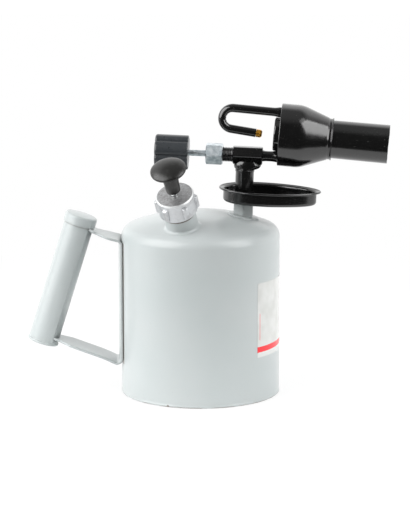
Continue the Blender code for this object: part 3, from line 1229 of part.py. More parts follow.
def add_strap_slots(name, frames):
    """A cutter that clears the strap on every side."""
    return add_skinned(name, strap_rings(GAP), None, frames["tank"], looped=False)


def add_grip_cap(frames):
    """Pressed cap with a low crown over the grip's upper end, notched for the strap."""
    ceiling = GRIP_LENGTH + GAP
    top = ceiling + GRIP_CAP_THICKNESS
    foot = top - GRIP_CAP_SKIRT
    corner = (GRIP_CAP_RADIUS - GRIP_CAP_ROUNDING, top - GRIP_CAP_ROUNDING)
    outline = [(0, ceiling), (GRIP_CAP_BORE, ceiling), (GRIP_CAP_BORE, foot), (GRIP_CAP_RADIUS, foot)]
    outline += arc(corner, GRIP_CAP_ROUNDING, 0, 90, INNER_ARC_STEPS)
    outline += [(corner[0] / 2, top + GRIP_CAP_CROWN * GRIP_CAP_CROWN_SHARE), (0, top + GRIP_CAP_CROWN)]
    cap = add_turned("grip_cap", outline, ROUND_STEPS, "grey paint", frames["grip"])
    combine(cap, add_strap_slots("cap_slot", frames), "DIFFERENCE")


def main():
    for existing in list(bpy.data.objects):
        bpy.data.objects.remove(existing)
    frames = make_frames()
    add_tank_shell(frames)
    add_tank_base(frames)
    add_filler_neck(frames)
    add_pump_barrel(frames)
    add_cap_gasket(frames)
    add_rod_guide(frames)
    add_check_valve(frames)
    add_pump_cap(frames)
    add_pump_rod(frames)
    add_pump_knob(frames)
    add_piston(frames)
    add_boss_pad(frames)
    add_riser_boss(frames)
    add_dip_tube(frames)
    add_dip_filter(frames)
    add_priming_tray(frames)
    add_riser_washer(frames)
    add_riser_pipe(frames)
    add_tee_body(frames)
    add_gland(frames)
    add_valve_needle(frames)
    add_valve_spindle(frames)
    add_valve_knob(frames)
    add_knob_screw(frames)
    add_feed_tube(frames)
    add_vapour_tube(frames)
    add_vaporiser_loop(frames)
    add_jet_nozzle(frames)
    add_burner_bell(frames)
    add_bell_back_plate(frames)
    add_air_collar(frames)
    add_flame_tube(frames)
    add_handle_strap(frames)
    add_handle_grip(frames)
    add_grip_cap(frames)


main()
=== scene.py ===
"""Petrol blowlamp, dressed for the render: fine surfaces and finishes over the fixed frame, and its stage.

Sizes are in metres. The origin is the middle of the tank's base, Z is up and the burner points along +X.
Heights along a leaning axis are measured from its own place.
"""

import math

import bmesh
import bpy
import numpy as np
from bpy.props import FloatProperty, FloatVectorProperty, PointerProperty
from mathutils import Matrix, Vector


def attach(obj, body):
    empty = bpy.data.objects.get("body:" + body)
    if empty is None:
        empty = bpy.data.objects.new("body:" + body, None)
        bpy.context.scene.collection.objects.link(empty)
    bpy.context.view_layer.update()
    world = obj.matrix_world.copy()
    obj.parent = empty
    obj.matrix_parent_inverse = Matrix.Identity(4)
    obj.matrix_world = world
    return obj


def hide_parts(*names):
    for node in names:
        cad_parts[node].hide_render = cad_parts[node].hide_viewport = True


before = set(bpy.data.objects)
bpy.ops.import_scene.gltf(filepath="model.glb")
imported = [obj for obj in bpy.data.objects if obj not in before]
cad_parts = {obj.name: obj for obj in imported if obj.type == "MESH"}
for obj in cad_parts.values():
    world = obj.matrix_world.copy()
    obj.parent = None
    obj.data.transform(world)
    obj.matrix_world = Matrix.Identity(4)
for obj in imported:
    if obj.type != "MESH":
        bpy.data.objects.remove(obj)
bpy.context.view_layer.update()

bl_info = {
    "name": "Petrol blowlamp",
    "version": (1, 0, 0),
    "blender": (4, 5, 0),
    "location": "View3D > Sidebar > Blowlamp",
    "description": "Builds the fine surfaces, the finishes and the stage of a petrol blowlamp",
    "category": "Object",
}

# Clearances and mesh settings
GAP = 0.0003
MERGE_DISTANCE = 0.0000002
SHARP_ANGLE = 38.0
TURNED_SHARP = 30.0
HEXAGON_SHARP = 25.0
TANK_STEPS = 320
ROUND_STEPS = 192
SMALL_STEPS = 96
LUG_STEPS = 600
LOBE_STEPS = 480
TRAY_STEPS = 240
CORNER_STEPS = 5
ARC_STEPS = 14
CLOSING_SHARES = (0.6, 0.0)
SUPPORT_SHARE = 0.35
CORNER_LIMIT_SHARE = 0.47

# Tank
TANK_RADIUS = 0.065
TANK_WALL = 0.0012
TANK_WALL_HEIGHT = 0.1303
SHOULDER_RADIUS = 0.010
DOME_EDGE_SLOPE = 21.0
RIM_FLARE = 0.0003
RIM_HEIGHT = 0.0022
RIM_LIFT = 0.0005
RIM_STEP_SHARE = 0.6
SHOULDER_STEPS = 24
DOME_STEPS = 48
BASE_THICKNESS = 0.0012
BASE_FLANGE = 0.008
BASE_CORNER = 0.002
BASE_BEAD_RADIUS = 0.044
BASE_BEAD_WIDTH = 0.008
BASE_BEAD_HEIGHT = 0.001

# Filler neck, on the pump's axis
PUMP_DISTANCE = 0.0411
PUMP_AZIMUTH = 20.5
PUMP_LEAN = 32.0
NECK_RADIUS = 0.0132
NECK_WALL = 0.0030
NECK_HEIGHT = 0.0274
NECK_DEPTH = 0.009
NECK_FILLET = 0.0026
# Each row of waves is their number round an edge, their start in radians and their share of its size.
BRAZE_WAVE_SHARES = ((3, 0.8, 0.10), (5, 2.1, 0.07), (11, 4.0, 0.045), (17, 1.2, 0.03))

# Pump cap, rod and knob
CAP_TOP = 0.0338
CAP_TOP_THICKNESS = 0.0025
CAP_HEIGHT = 0.0165
CAP_TOP_RADIUS = 0.01475
CAP_SHOULDER = 0.0012
CAP_SKIRT_RADIUS = 0.0157
CAP_UPPER_RADIUS = 0.0153
CAP_EDGE = 0.0004
CAP_LUGS = 6
CAP_LUG_REACH = 0.0019
CAP_LUG_WIDTH = 0.0040
CAP_LUG_HEIGHT = 0.0108
CAP_LUG_SLOPE = 0.0009
CAP_LUG_LIFT = 0.0018
CAP_LUG_PHASE = 16.0
CAP_LUG_SOFTNESS = 0.0003
CAP_LUG_ROUNDNESS = 2.6
CAP_HIGHLIGHT_RING = 0.0003
CAP_ROWS = 90
ROD_RADIUS = 0.00275
ROD_FOOT = -0.0545
ROD_THREAD_RADIUS = 0.0020
ROD_THREAD_TOP = -0.0423
ROD_CHAMFER = 0.0003
ROD_GRIP = 0.0170
PUMP_KNOB_FOOT = 0.0380
PUMP_KNOB_STEM = 0.0190
PUMP_KNOB_STEM_RADIUS = 0.0058
PUMP_KNOB_NECK_RADIUS = 0.0066
PUMP_KNOB_RADIUS = 0.01435
PUMP_KNOB_UNDERSIDE = 0.0010
PUMP_KNOB_RIM = 0.0024
PUMP_KNOB_EDGE_SHARE = 0.93
PUMP_KNOB_CROWN = 0.0041
CROWN_POWER = 1.45
PUMP_KNOB_EDGE = 0.0008
CROWN_STEPS = 28
PARTING_LINE = 0.00012

# Riser boss and its pad, on the riser's axis
RISER_INSET = 0.0301
RISER_LEAN = 2.0
BURNER_YAW = 4.0
PAD_RADIUS = 0.0130
PAD_THICKNESS = 0.0010
PAD_ROUNDING = 0.0005
PAD_WAVE_SHARE = 0.25
BOSS_ACROSS_FLATS = 0.0156
BOSS_TURN = 30.0
BOSS_HEIGHT = 0.0118
BOSS_SPIGOT_RADIUS = 0.0047
BOSS_SPIGOT_HEIGHT = 0.0084
BOSS_STEM_RADIUS = 0.0055
BOSS_STEM_DEPTH = 0.008
BOSS_BORE = 0.0030
HEX_CHAMFER_SHARE = 0.96
HEX_CHAMFER_SLOPE = 30.0
HEX_CORNER_SHARE = 0.982
HEX_END_SHARES = (0.0, 0.03, 0.5, 0.97, 1.0)

# Priming tray
TRAY_THICKNESS = 0.0010
TRAY_CENTRE = 0.0211
TRAY_RIM_LENGTH = 0.0836
TRAY_RIM_WIDTH = 0.0510
TRAY_FLOOR_LENGTH = 0.0764
TRAY_FLOOR_WIDTH = 0.0436
TRAY_DEPTH = 0.0118
TRAY_CORNER = 0.0028
TRAY_BEAD_RADIUS = 0.0008
TRAY_TAPER_SHARE = 0.17
TRAY_TILT = 0.5
TRAY_ROLL = 1.2
TRAY_FLARE_POWER = 14.0
TRAY_WALL_STEPS = 48
TRAY_UNDER_SHARES = (0.0, 0.35, 0.7, 0.98)
TRAY_OVER_SHARES = (0.02, 0.3, 0.65, 1.0)

# Riser pipe
WASHER_THICKNESS = 0.0010
RISER_RADIUS = 0.0075
RISER_HEIGHT = 0.0239
RISER_RING_RADIUS = 0.0079
RISER_RING_HEIGHT = 0.0014
RISER_BORE = 0.0030

# Valve body, on the valve's axis, with heights that grow towards the knob
TEE_RISE = 0.0113
TEE_CORNER_RADIUS = 0.0080
TEE_TURN = 30.0
TEE_FRONT = 0.0141
TEE_BACK = 0.0103
TEE_NECK_RADIUS = 0.0060
TEE_NECK_LENGTH = 0.0167
TEE_SPIGOT = 0.0050
TEE_SPIGOT_RADIUS = 0.0047
BEAD_BACK = 0.0092
BEAD_FRONT = 0.0131
BEAD_WIDTH = 0.0142
BEAD_HEIGHT = 0.0036
BEAD_SINK = 0.0040
BEAD_SINK_SHARES = ((0.97, 0.4), (0.90, 0.75), (0.75, 1.0))
BEAD_WAVE_SHARES = ((7, 1.0, 1.0), (13, 0.0, 0.5))
THREAD_POWER = 1.4
THREAD_ROWS = 12
PACKING_RADIUS = 0.0048
PACKING_DEPTH = 0.0080
FEED_SOCKET = 0.0037

# Gland nut, spindle, valve knob and screw
NUT_ACROSS_FLATS = 0.0160
NUT_TURN = 26.0
NUT_START = 0.0185
NUT_LENGTH = 0.0138
NUT_FACE = 0.0041
SPINDLE_RADIUS = 0.0025
SPINDLE_THREAD_RADIUS = 0.0030
SPINDLE_THREAD_LENGTH = 0.0125
SPINDLE_ROWS = 10
KNOB_START = 0.0466
KNOB_LENGTH = 0.0273
KNOB_RADIUS = 0.0142
KNOB_START_ROUNDING = 0.0010
KNOB_END_ROUNDING = 0.0018
KNOB_LOBES = 6
KNOB_GROOVE_DEPTH = 0.0022
KNOB_GROOVE_WIDTH = 10.0
KNOB_LOBE_WIDTH = 26.0
KNOB_LOBE_SHARE = 0.5
KNOB_GROOVE_PHASE = 23.8
KNOB_RECESS_RADIUS = 0.0042
KNOB_RECESS_DEPTH = 0.0030
KNOB_WEB = 0.0021
KNOB_FRONT_STEPS = 10
KNOB_SIDE_ROWS = 12
SCREW_HEAD_RADIUS = 0.0034
SCREW_HEAD_HEIGHT = 0.0018
SCREW_RADIUS = 0.0014
SCREW_LENGTH = 0.0080
SCREW_SLOT_WIDTH = 0.0009
SCREW_SLOT_DEPTH = 0.0009
SCREW_FACE_ROWS = 40

# Burner, on its own drooping axis
BURNER_START = 0.0272
FEED_PORT_DISTANCE = 0.0183
BURNER_DROOP = 2.65
BELL_RADIUS = 0.0255
BELL_WALL = 0.0012
BELL_RIM_ROUNDING = 0.0006
BELL_CYLINDER = 0.0175
BELL_CONE = 0.0216
BELL_CREASE = 0.0220
BELL_REAR_ROUNDING = 0.0022
BELL_NECK_FILLET = 0.0040
BELL_LIP = 0.0041
BELL_NECK_STEP = 0.00065
BELL_GROOVE = 0.0029
BELL_GROOVE_SHARES = (0.35, 0.95, 1.2)
BELL_STEPS = 256
PLATE_RECESS = 0.0008
COLLAR_RADIUS = 0.0134
COLLAR_LENGTH = 0.0047
COLLAR_ROUNDING = 0.0012
COLLAR_FLARE = 0.0015
# Each row also says whether its waves lean along the collar's axis.
COLLAR_WAVE_SHARES = ((5, 1.0, 1.0, 1), (12, 3.0, 0.7, 0), (23, 0.0, 0.5, 1))
AIR_BORE = 0.0095
AIR_TUBE_WALL = 0.0008
AIR_TUBE_DEPTH = 0.0140
FLAME_TUBE_RADIUS = 0.0155
FLAME_TUBE_MOUTH_RADIUS = 0.01575
FLAME_TUBE_WALL = 0.0011
FLAME_TUBE_INSET = 0.0072
FLAME_TUBE_REACH = 0.0455
FLAME_TUBE_BURR = 0.00035
MOUTH_WAVE_SHARES = ((2, 1.0, 0.3333), (5, 0.0, 0.2), (13, 0.0, 0.1333))

# Fuel and vapour tubes
FEED_RADIUS = 0.0042
TUBE_RADIUS = 0.0035
TUBE_WALL = 0.0010
TUBE_END_DEPTH = 0.0035
VAPOUR_BEND_X = -0.0113
VAPOUR_BEND_RISE = 0.0114
VAPOUR_BEND_RADIUS = 0.0086
VAPOUR_UPPER_SLOPE = 3.0
VAPOUR_LOWER_SLOPE = 7.1
VAPOUR_LOWER_END = 0.0079
BEND_STEPS = 72
BEND_FLATTENING_SHARE = 0.13
BEND_CREASE_SHARE = 0.035
BEND_CREASES = 7
BRAZE_LENGTH = 0.0030
BRAZE_HEIGHT = 0.0007
FEED_ROWS = 90
FEED_WAVE_SHARES = ((3, 1.0, 0.25), (8, 0.0, 0.12))
VAPOUR_UPPER_ROWS = 30
VAPOUR_LOWER_ROWS = 16
VAPOUR_BORE_POWER = 1.2
VAPOUR_WAVE_SHARES = ((3, 2.0, 0.3),)
JET_RADIUS = 0.00325
JET_LENGTH = 0.0046
JET_TIP_RADIUS = 0.0022
JET_TIP_LENGTH = 0.0012
JET_SHANK_LENGTH = 0.0040
JET_ORIFICE = 0.0003
JET_GROOVE = 0.0004
JET_EDGE = 0.0002
JET_GROOVE_SHARES = (0.25, 0.55)

# Handle
STRAP_THICKNESS = 0.0020
STRAP_WIDTH = 0.0300
STRAP_TOP = 0.1264
STRAP_BOTTOM = 0.0254
STRAP_CORNER_RADIUS = 0.0028
STRAP_CAMBER_FADE = 0.0200
STRAP_EDGE = 0.0005
STRAP_STEP = 0.0015
STRAP_WIDTH_STEPS = 16
TAB_WIDTH = 0.0200
TAB_TIP_WIDTH = 0.0120
TAB_TIP_LENGTH = 0.0095
TAB_LENGTH = 0.0130
TAB_SHOULDER = 0.0100
TAB_HOOK_RADIUS = 0.0120
GRIP_REACH = 0.0654
GRIP_FOOT_HEIGHT = 0.0412
GRIP_LEAN = 17.3
GRIP_LENGTH = 0.1105
GRIP_RADIUS = 0.0123
GRIP_WALL = 0.0012
GRIP_LIP = 0.0006
GRIP_LIP_HEIGHT = 0.0018
GRIP_LIP_TAPER = 0.00054
LOWER_TAB_HEIGHT = 0.0071
UPPER_BEND_DROP = 0.0085
UPPER_BEND_SHARE = 0.756
UPPER_TIP_DROP = 0.0033
UPPER_TIP_SHARE = 0.35
GRIP_CAP_THICKNESS = 0.0008
GRIP_CAP_SKIRT = 0.0079
GRIP_CAP_ROUNDING = 0.0018
GRIP_CAP_CROWN = 0.0008
GRIP_CAP_BEND = 84.0
GRIP_CAP_ROWS = 20

# Sticker on the tank's wall
LABEL_LEFT = 45.2
LABEL_RIGHT = 98.0
LABEL_FOOT = 0.0378
LABEL_TOP = 0.0992
LABEL_LIFT = 0.00003
LABEL_STEPS = 96
LABEL_ROWS = 24

# Parts inside the lamp that keep their solids, by finish
INNER_PARTS = {
    "brass": "pump_barrel rod_guide check_valve_housing ball_retainer piston_nut dip_tube dip_filter "
    "gland_follower",
    "bright_steel": "check_valve_ball piston_plate piston_spreader valve_needle",
    "leather": "piston_cup",
    "rubber": "cap_gasket riser_washer",
    "fibre": "gland_packing",
    "black_enamel": "bell_back_plate vaporiser_loop",
}

# Painted shade on the neck and on the grip, just below where their caps end, and painted shadow on the wall
# beside the strap
NECK_SHADE_DROP = 0.0028
GRIP_SHADE_DROP = 0.0008
NECK_SHADE_SHARE = 1.0
GRIP_SHADE_SHARE = 0.35
SHADE_FADE = 0.0007
STRAP_SHADE_REACH = 0.0022
STRAP_SHADE_SHARE = 0.8

# Where the paint is chipped on the tank's rim, and where the rim's foot is darker in patches
RIM_CHIP = (-0.0262, -0.0595, 0.0013)
RIM_CHIP_RADIUS = 0.0012
RIM_CHIP_SHARE = 0.85
RIM_DARK_TOP = 0.0012
RIM_DARK_FOOT = 0.0008

# The painted highlight round the cast cap's top, marks of the drawn metal, and the enamel's gloss
CAP_HIGHLIGHT_RING_FADE = 0.00009
CAP_HIGHLIGHT_RIM_FADE = 0.00024
CAP_RIM_DULLING = 0.08
POLISHING_MARKS = 0.0004
ENAMEL_IOR = 1.7

# Patterns of the finishes. Each row is the size of a grain in metres, the noise's detail, the two values of
# the noise that are spread, and where it isn't 0 to 1, what they are spread to: a share or a roughness. Dust,
# grit, peel and marks are finer on the real lamp than the render can show, and drawn as coarse as they need.
PATTERNS = {
    "paint patches": (0.050, 2.0, 0.35, 0.65),
    "paint specks": (0.0011, 1.0, 0.76, 0.79, 0.0, 0.40),
    "chip edge": (0.0014, 2.0, 0.3, 0.7, 0.55, 1.25),
    "rim darkening": (0.012, 3.0, 0.36, 0.50),
    "paint gloss": (0.012, 2.0, 0.3, 0.7, 0.29, 0.33),
    "paint peel": (0.0016, 1.0, 0.3, 0.7),
    "enamel specks": (0.0010, 1.0, 0.75, 0.78, 0.0, 0.30),
    "enamel gloss": (0.006, 2.0, 0.3, 0.7, 0.14, 0.20),
    "enamel waves": (0.0050, 1.0, 0.3, 0.7),
    "enamel grit": (0.0012, 1.0, 0.50, 0.80),
    "plastic rubbing": (0.0030, 3.0, 0.50, 0.80, 0.0, 0.12),
    "valve_plastic gloss": (0.0040, 2.0, 0.3, 0.7, 0.27, 0.33),
    "pump_plastic gloss": (0.0040, 2.0, 0.3, 0.7, 0.297, 0.363),
    "plastic grain": (0.0006, 2.0, 0.3, 0.7),
    "zinc clouds": (0.0040, 3.0, 0.36, 0.64),
    "zinc gloss": (0.0020, 2.0, 0.3, 0.7, 0.36, 0.48),
    "zinc marks": (0.0016, 2.0, 0.3, 0.7),
    "alloy mottle": (0.0014, 4.0, 0.35, 0.65, 0.3, 1.0),
    "alloy clouds": (0.0050, 3.0, 0.45, 0.70, 0.0, 0.45),
    "alloy gloss": (0.0022, 3.0, 0.3, 0.7, 0.42, 0.58),
    "alloy grain": (0.0006, 3.0, 0.3, 0.7),
    "steel gloss": (0.0060, 2.0, 0.3, 0.7, 0.16, 0.30),
    "brass patches": (0.0016, 3.0, 0.45, 0.75, 0.0, 0.7),
    "brass gloss": (0.0010, 2.0, 0.3, 0.7, 0.22, 0.40),
    "brass scratches": (0.0004, 2.0, 0.3, 0.7),
    "leather patches": (0.0032, 3.0, 0.35, 0.65),
    "leather grain": (0.0008, 3.0, 0.3, 0.7),
    "rubber patches": (0.0024, 3.0, 0.35, 0.65),
    "rubber grain": (0.0006, 3.0, 0.3, 0.7),
    "fibre patches": (0.0020, 3.0, 0.35, 0.65),
    "fibre grain": (0.0005, 3.0, 0.3, 0.7),
    "film sheen": (0.0100, 1.0, 0.3, 0.7, 0.0, 0.5),
    "film waves": (0.0060, 1.0, 0.3, 0.7),
}

# Where the room grows brighter towards the back and the top, and its sides fade, by the direction's Y or Z
ROOM_BACK_FADE = (-0.35, 0.35)
ROOM_TOP_FADE = (0.75, 0.98)
ROOM_SIDE_FADE = (0.77, 0.93)

# Sizes and heights that follow from the ones above
DOME_EDGE_RADIUS = TANK_RADIUS - SHOULDER_RADIUS * (1 - math.sin(math.radians(DOME_EDGE_SLOPE)))
DOME_RADIUS = DOME_EDGE_RADIUS / math.sin(math.radians(DOME_EDGE_SLOPE))
DOME_CENTRE = TANK_WALL_HEIGHT + (SHOULDER_RADIUS - DOME_RADIUS) * math.cos(math.radians(DOME_EDGE_SLOPE))
RISER_DISTANCE = TANK_RADIUS - RISER_INSET
CAP_FOOT = CAP_TOP - CAP_HEIGHT
CAP_CEILING = CAP_TOP - CAP_TOP_THICKNESS
ROD_TOP = PUMP_KNOB_FOOT + ROD_GRIP
TRAY_FOOT = BOSS_HEIGHT + GAP
RISER_FOOT = TRAY_FOOT + TRAY_THICKNESS + GAP + WASHER_THICKNESS + GAP
RISER_TOP = RISER_FOOT + RISER_HEIGHT
TEE_FOOT = RISER_TOP + GAP
TEE_ACROSS_FLATS = TEE_CORNER_RADIUS * math.sqrt(3)
TEE_NECK_END = TEE_BACK + TEE_NECK_LENGTH
VALVE_HEIGHT = TEE_FOOT + TEE_RISE
BURNER_HEIGHT = VALVE_HEIGHT + FEED_PORT_DISTANCE
VAPOUR_BEND_HEIGHT = BURNER_HEIGHT + VAPOUR_BEND_RISE
NUT_END = NUT_START + NUT_LENGTH
KNOB_END = KNOB_START + KNOB_LENGTH
SPINDLE_END = KNOB_END - KNOB_RECESS_DEPTH - KNOB_WEB - GAP
FLAME_TUBE_SEAT = FLAME_TUBE_RADIUS + GAP
BELL_NECK_RADIUS = FLAME_TUBE_SEAT + BELL_WALL + BELL_NECK_STEP / 2
BELL_CONE_END = BELL_CYLINDER + BELL_CONE
BELL_END = BELL_CONE_END + BELL_LIP
BELL_BORE = BELL_RADIUS - BELL_WALL
STRAP_X = -(TANK_RADIUS + GAP + STRAP_THICKNESS / 2)
GRIP_CAP_RADIUS = GRIP_RADIUS + GAP + GRIP_CAP_THICKNESS
GRIP_SHADE_FOOT = GRIP_LENGTH + GAP + GRIP_CAP_THICKNESS - GRIP_CAP_SKIRT - GRIP_SHADE_DROP


# Places of the axes


def turn(degrees, axis):
    return Matrix.Rotation(math.radians(degrees), 4, axis)


def dome_height(distance):
    """Height of the dome's outer face at a distance from the tank's axis."""
    return DOME_CENTRE + math.sqrt(DOME_RADIUS**2 - distance**2)


def pump_place():
    foot = turn(-PUMP_AZIMUTH, "Z") @ Vector((0, -PUMP_DISTANCE, dome_height(PUMP_DISTANCE)))
    return Matrix.Translation(foot) @ turn(-PUMP_AZIMUTH, "Z") @ turn(PUMP_LEAN, "X")


def riser_place():
    foot = Matrix.Translation((RISER_DISTANCE, 0, dome_height(RISER_DISTANCE)))
    return foot @ turn(RISER_LEAN, "Y") @ turn(-BURNER_YAW, "Z")


def valve_place():
    return riser_place() @ Matrix.Translation((0, 0, VALVE_HEIGHT)) @ turn(-90, "Y")


def burner_place():
    start = Matrix.Translation((BURNER_START, 0, BURNER_HEIGHT))
    return riser_place() @ start @ turn(90 + BURNER_DROOP, "Y")


def tray_place():
    foot = Matrix.Translation((0, 0, TRAY_FOOT))
    return riser_place() @ foot @ turn(TRAY_TILT, "Y") @ turn(TRAY_ROLL, "X")


def grip_place():
    foot = Matrix.Translation((-(TANK_RADIUS + GRIP_REACH), 0, GRIP_FOOT_HEIGHT))
    return foot @ turn(GRIP_LEAN, "Y")


def jet_place():
    end = vapour_path()[-1]
    return riser_place() @ Matrix.Translation(end) @ turn(90 + VAPOUR_LOWER_SLOPE, "Y")


# Surfaces


def angles(steps):
    return np.arange(steps) * math.tau / steps


def upright(radius, heights):
    """An outline's straight run at one radius."""
    return np.column_stack((np.full(len(heights), radius), heights))


def travel(path):
    """Length along a path to each of its points, and the path's direction there."""
    steps = np.linalg.norm(np.diff(path, axis=0), axis=1)
    along = np.gradient(path, axis=0)
    return np.concatenate(((0.0,), np.cumsum(steps))), along / np.linalg.norm(along, axis=1, keepdims=True)


def placed(points, place):
    """Each point turned by the place's rotation and moved by its shift."""
    matrix = np.array(place)
    return points @ matrix[:3, :3].T + matrix[:3, 3]


def arc(centre, radius, start, end, steps=ARC_STEPS):
    """(radius, height) points at even angles round a centre, with the angles in degrees from outwards."""
    angle = np.radians(np.linspace(start, end, steps + 1))
    return np.column_stack((centre[0] + radius * np.cos(angle), centre[1] + radius * np.sin(angle)))


def softened(corners, radii, looped=True):
    """An outline with each corner replaced by a circular arc that is tangent to both its edges.

    The arc starts and ends radius x tan(half the turn) from the corner, at most a little under half an edge,
    and a point beyond each end of it keeps the shading of the flat edges flat.
    """
    corners = np.array(corners, float)
    radii = np.broadcast_to(radii, len(corners))
    outline = []
    for place, (corner, radius) in enumerate(zip(corners, radii)):
        ends = not looped and place in (0, len(corners) - 1)
        before, after = corners[place - 1] - corner, corners[(place + 1) % len(corners)] - corner
        long_before, long_after = np.linalg.norm(before), np.linalg.norm(after)
        if ends or radius == 0 or min(long_before, long_after) == 0:
            outline.append(corner[None])
            continue
        before, after = before / long_before, after / long_after
        half = math.acos(np.clip(before @ after, -1, 1)) / 2
        reach = min(radius / math.tan(half), CORNER_LIMIT_SHARE * min(long_before, long_after))
        radius = reach * math.tan(half)
        if radius < MERGE_DISTANCE or half > math.pi / 2 - MERGE_DISTANCE:
            outline.append(corner[None])
            continue
        middle = corner + (before + after) / np.linalg.norm(before + after) * radius / math.sin(half)
        share = np.linspace(0, 1, CORNER_STEPS + 1)[:, None]
        swing = math.pi - 2 * half
        from_start = (corner + before * reach - middle) / radius
        across = (corner + after * reach - middle) / radius
        arc_points = np.sin((1 - share) * swing) * from_start + np.sin(share * swing) * across
        arc_points = middle + arc_points * radius / math.sin(swing)
        support = min(SUPPORT_SHARE * radius, (0.5 - CORNER_LIMIT_SHARE) * min(long_before, long_after))
        outline.append(corner + before * (reach + support))
        outline.append(arc_points)
        outline.append(corner + after * (reach + support))
    return np.vstack(outline)


def turned(outline, steps=ROUND_STEPS, swell=None):
    """Each outline point carried round the Z axis: x = radius cos angle, y = radius sin angle, z = height.

    swell(angle, radius, height) adds to the radius, where given.
    """
    outline = np.array(outline, float)
    angle = angles(steps)
    radius = np.repeat(outline[:, :1], steps, axis=1)
    height = np.repeat(outline[:, 1:2], steps, axis=1)
    if swell is not None:
        radius = radius + swell(angle[None], radius, height)
    return np.stack((radius * np.cos(angle), radius * np.sin(angle), height), axis=2)


def circle(radius, height, steps):
    """One ring round the Z axis. The radius may differ from point to point."""
    angle = angles(steps)
    return np.column_stack(np.broadcast_arrays(radius * np.cos(angle), radius * np.sin(angle), height))


def waves(angle, rows):
    """Sum of sines round a ring: each row has a number of waves, a start and an amplitude."""
    return sum(height * np.sin(count * angle + start) for count, start, height in rows)


def hexagon(across_flats, steps):
    """Radius of a hexagon at each step: half the width over the cosine from the nearest flat's middle.

    The corners are cut off at a share of their radius, so that they catch the light.
    """
    radius = across_flats / 2 / np.cos(angles(steps) % (math.tau / 6) - math.tau / 12)
    return np.minimum(radius, across_flats / math.sqrt(3) * HEX_CORNER_SHARE)


def hexagon_end(across_flats, height, side, steps):
    """Rings of a hexagon's end: a chamfer cone that meets the flats in curves, and the face's circle."""
    corners = hexagon(across_flats, steps)
    flat_radius = across_flats / 2 * HEX_CHAMFER_SHARE
    slope = math.tan(math.radians(HEX_CHAMFER_SLOPE))
    rows = []
    for share in HEX_END_SHARES:
        radius = flat_radius + (corners - flat_radius) * share
        rows.append(circle(radius, height - side * (radius - flat_radius) * slope, steps))
    rows.append(circle(corners, height - side * (corners - flat_radius) * slope - side * GAP, steps))
    return rows[::-1] if side > 0 else rows


def on_dome(place, steps, radius, above):
    """A ring round a leaning axis, each point slid along the axis until it lies this far above the dome."""
    points = circle(radius, 0, steps)
    axis = np.array(place.col[2][:3])
    start = placed(points, place) - np.array((0, 0, DOME_CENTRE))
    along = start @ axis
    points[:, 2] = np.sqrt(along**2 - (start**2).sum(axis=1) + (DOME_RADIUS + above) ** 2) - along
    return points


def swept(path, radius, steps, shape=None):
    """A round tube along a path in the XZ plane: each ring is spanned by Y and the path's normal there.

    shape(angle, share) multiplies the radius, with the angle from the outside of the bend and the share of
    the path's length.
    """
    path = np.array(path, float)
    travelled, along = travel(path)
    normal = np.column_stack((along[:, 2], np.zeros(len(path)), -along[:, 0]))
    share = (travelled / travelled[-1])[:, None]
    angle = angles(steps)[None]
    size = radius * (shape(angle, share) if shape else np.ones_like(angle + share))
    across = np.array((0.0, 1.0, 0.0))
    spokes = np.cos(angle)[..., None] * normal[:, None] + np.sin(angle)[..., None] * across
    return path[:, None] + size[..., None] * spokes


def closed_end(ring):
    """Rings that shrink a ring to its middle, so that the shell is closed there."""
    middle = ring.mean(axis=0)
    return middle + (ring - middle) * np.array(CLOSING_SHARES)[:, None, None]


def add_surface(name, shells, body, nodes, finish, place=None, looped=True, sharp=SHARP_ANGLE):
    """Make one piece of closed shells. Each is a grid of rings, and where looped, the last joins the first.

    The piece takes the place of the nodes that are named, and a cutter, which has no body, takes none.
    """
    points = []
    corners = []
    first = 0
    for grid in shells:
        rows, steps = grid.shape[:2]
        points.append(grid.reshape(-1, 3))
        row = np.arange(rows if looped else rows - 1)[:, None]
        step = np.arange(steps)[None]
        above, beside = (row + 1) % rows, (step + 1) % steps
        quads = (row * steps + step, row * steps + beside, above * steps + beside, above * steps + step)
        corners.append(first + np.stack(quads, axis=2).reshape(-1, 4))
        first += rows * steps
    points = np.vstack(points)
    corners = np.vstack(corners)
    if place is not None:
        points = placed(points, place)
    mesh = bpy.data.meshes.new(name)
    mesh.vertices.add(len(points))
    mesh.vertices.foreach_set("co", points.astype(np.float32).ravel())
    mesh.loops.add(corners.size)
    mesh.loops.foreach_set("vertex_index", corners.astype(np.int32).ravel())
    mesh.polygons.add(len(corners))
    mesh.polygons.foreach_set("loop_start", np.arange(0, corners.size, 4, dtype=np.int32))
    mesh.update(calc_edges=True)
    mesh.validate()
    shape = bmesh.new()
    shape.from_mesh(mesh)
    bmesh.ops.remove_doubles(shape, verts=shape.verts, dist=MERGE_DISTANCE)
    bmesh.ops.dissolve_degenerate(shape, edges=shape.edges, dist=MERGE_DISTANCE)
    bmesh.ops.recalc_face_normals(shape, faces=shape.faces)
    shape.to_mesh(mesh)
    shape.free()
    mesh.shade_smooth()
    mesh.set_sharp_from_angle(angle=math.radians(sharp))
    mesh.materials.append(material_of(finish))
    piece = add_object(name, mesh)
    if body is not None:
        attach(piece, body)
        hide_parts(*nodes.split())
    return piece


def add_object(name, data):
    """Put a mesh, light or camera in the scene, at the origin."""
    item = bpy.data.objects.new(name, data)
    bpy.context.scene.collection.objects.link(item)
    return item


def cut(piece, cutter):
    """Take the cutter's space out of a piece, keep the result as its mesh and remove the cutter."""
    boolean = piece.modifiers.new("Cut", "BOOLEAN")
    boolean.operation = "DIFFERENCE"
    boolean.solver = "EXACT"
    boolean.object = cutter
    graph = bpy.context.evaluated_depsgraph_get()
    mesh = bpy.data.meshes.new_from_object(piece.evaluated_get(graph))
    piece.modifiers.clear()
    piece.data = mesh
    bpy.data.objects.remove(cutter)
    if not mesh.polygons:
        raise RuntimeError(f"nothing is left of {piece.name} after its cut")


# Materials


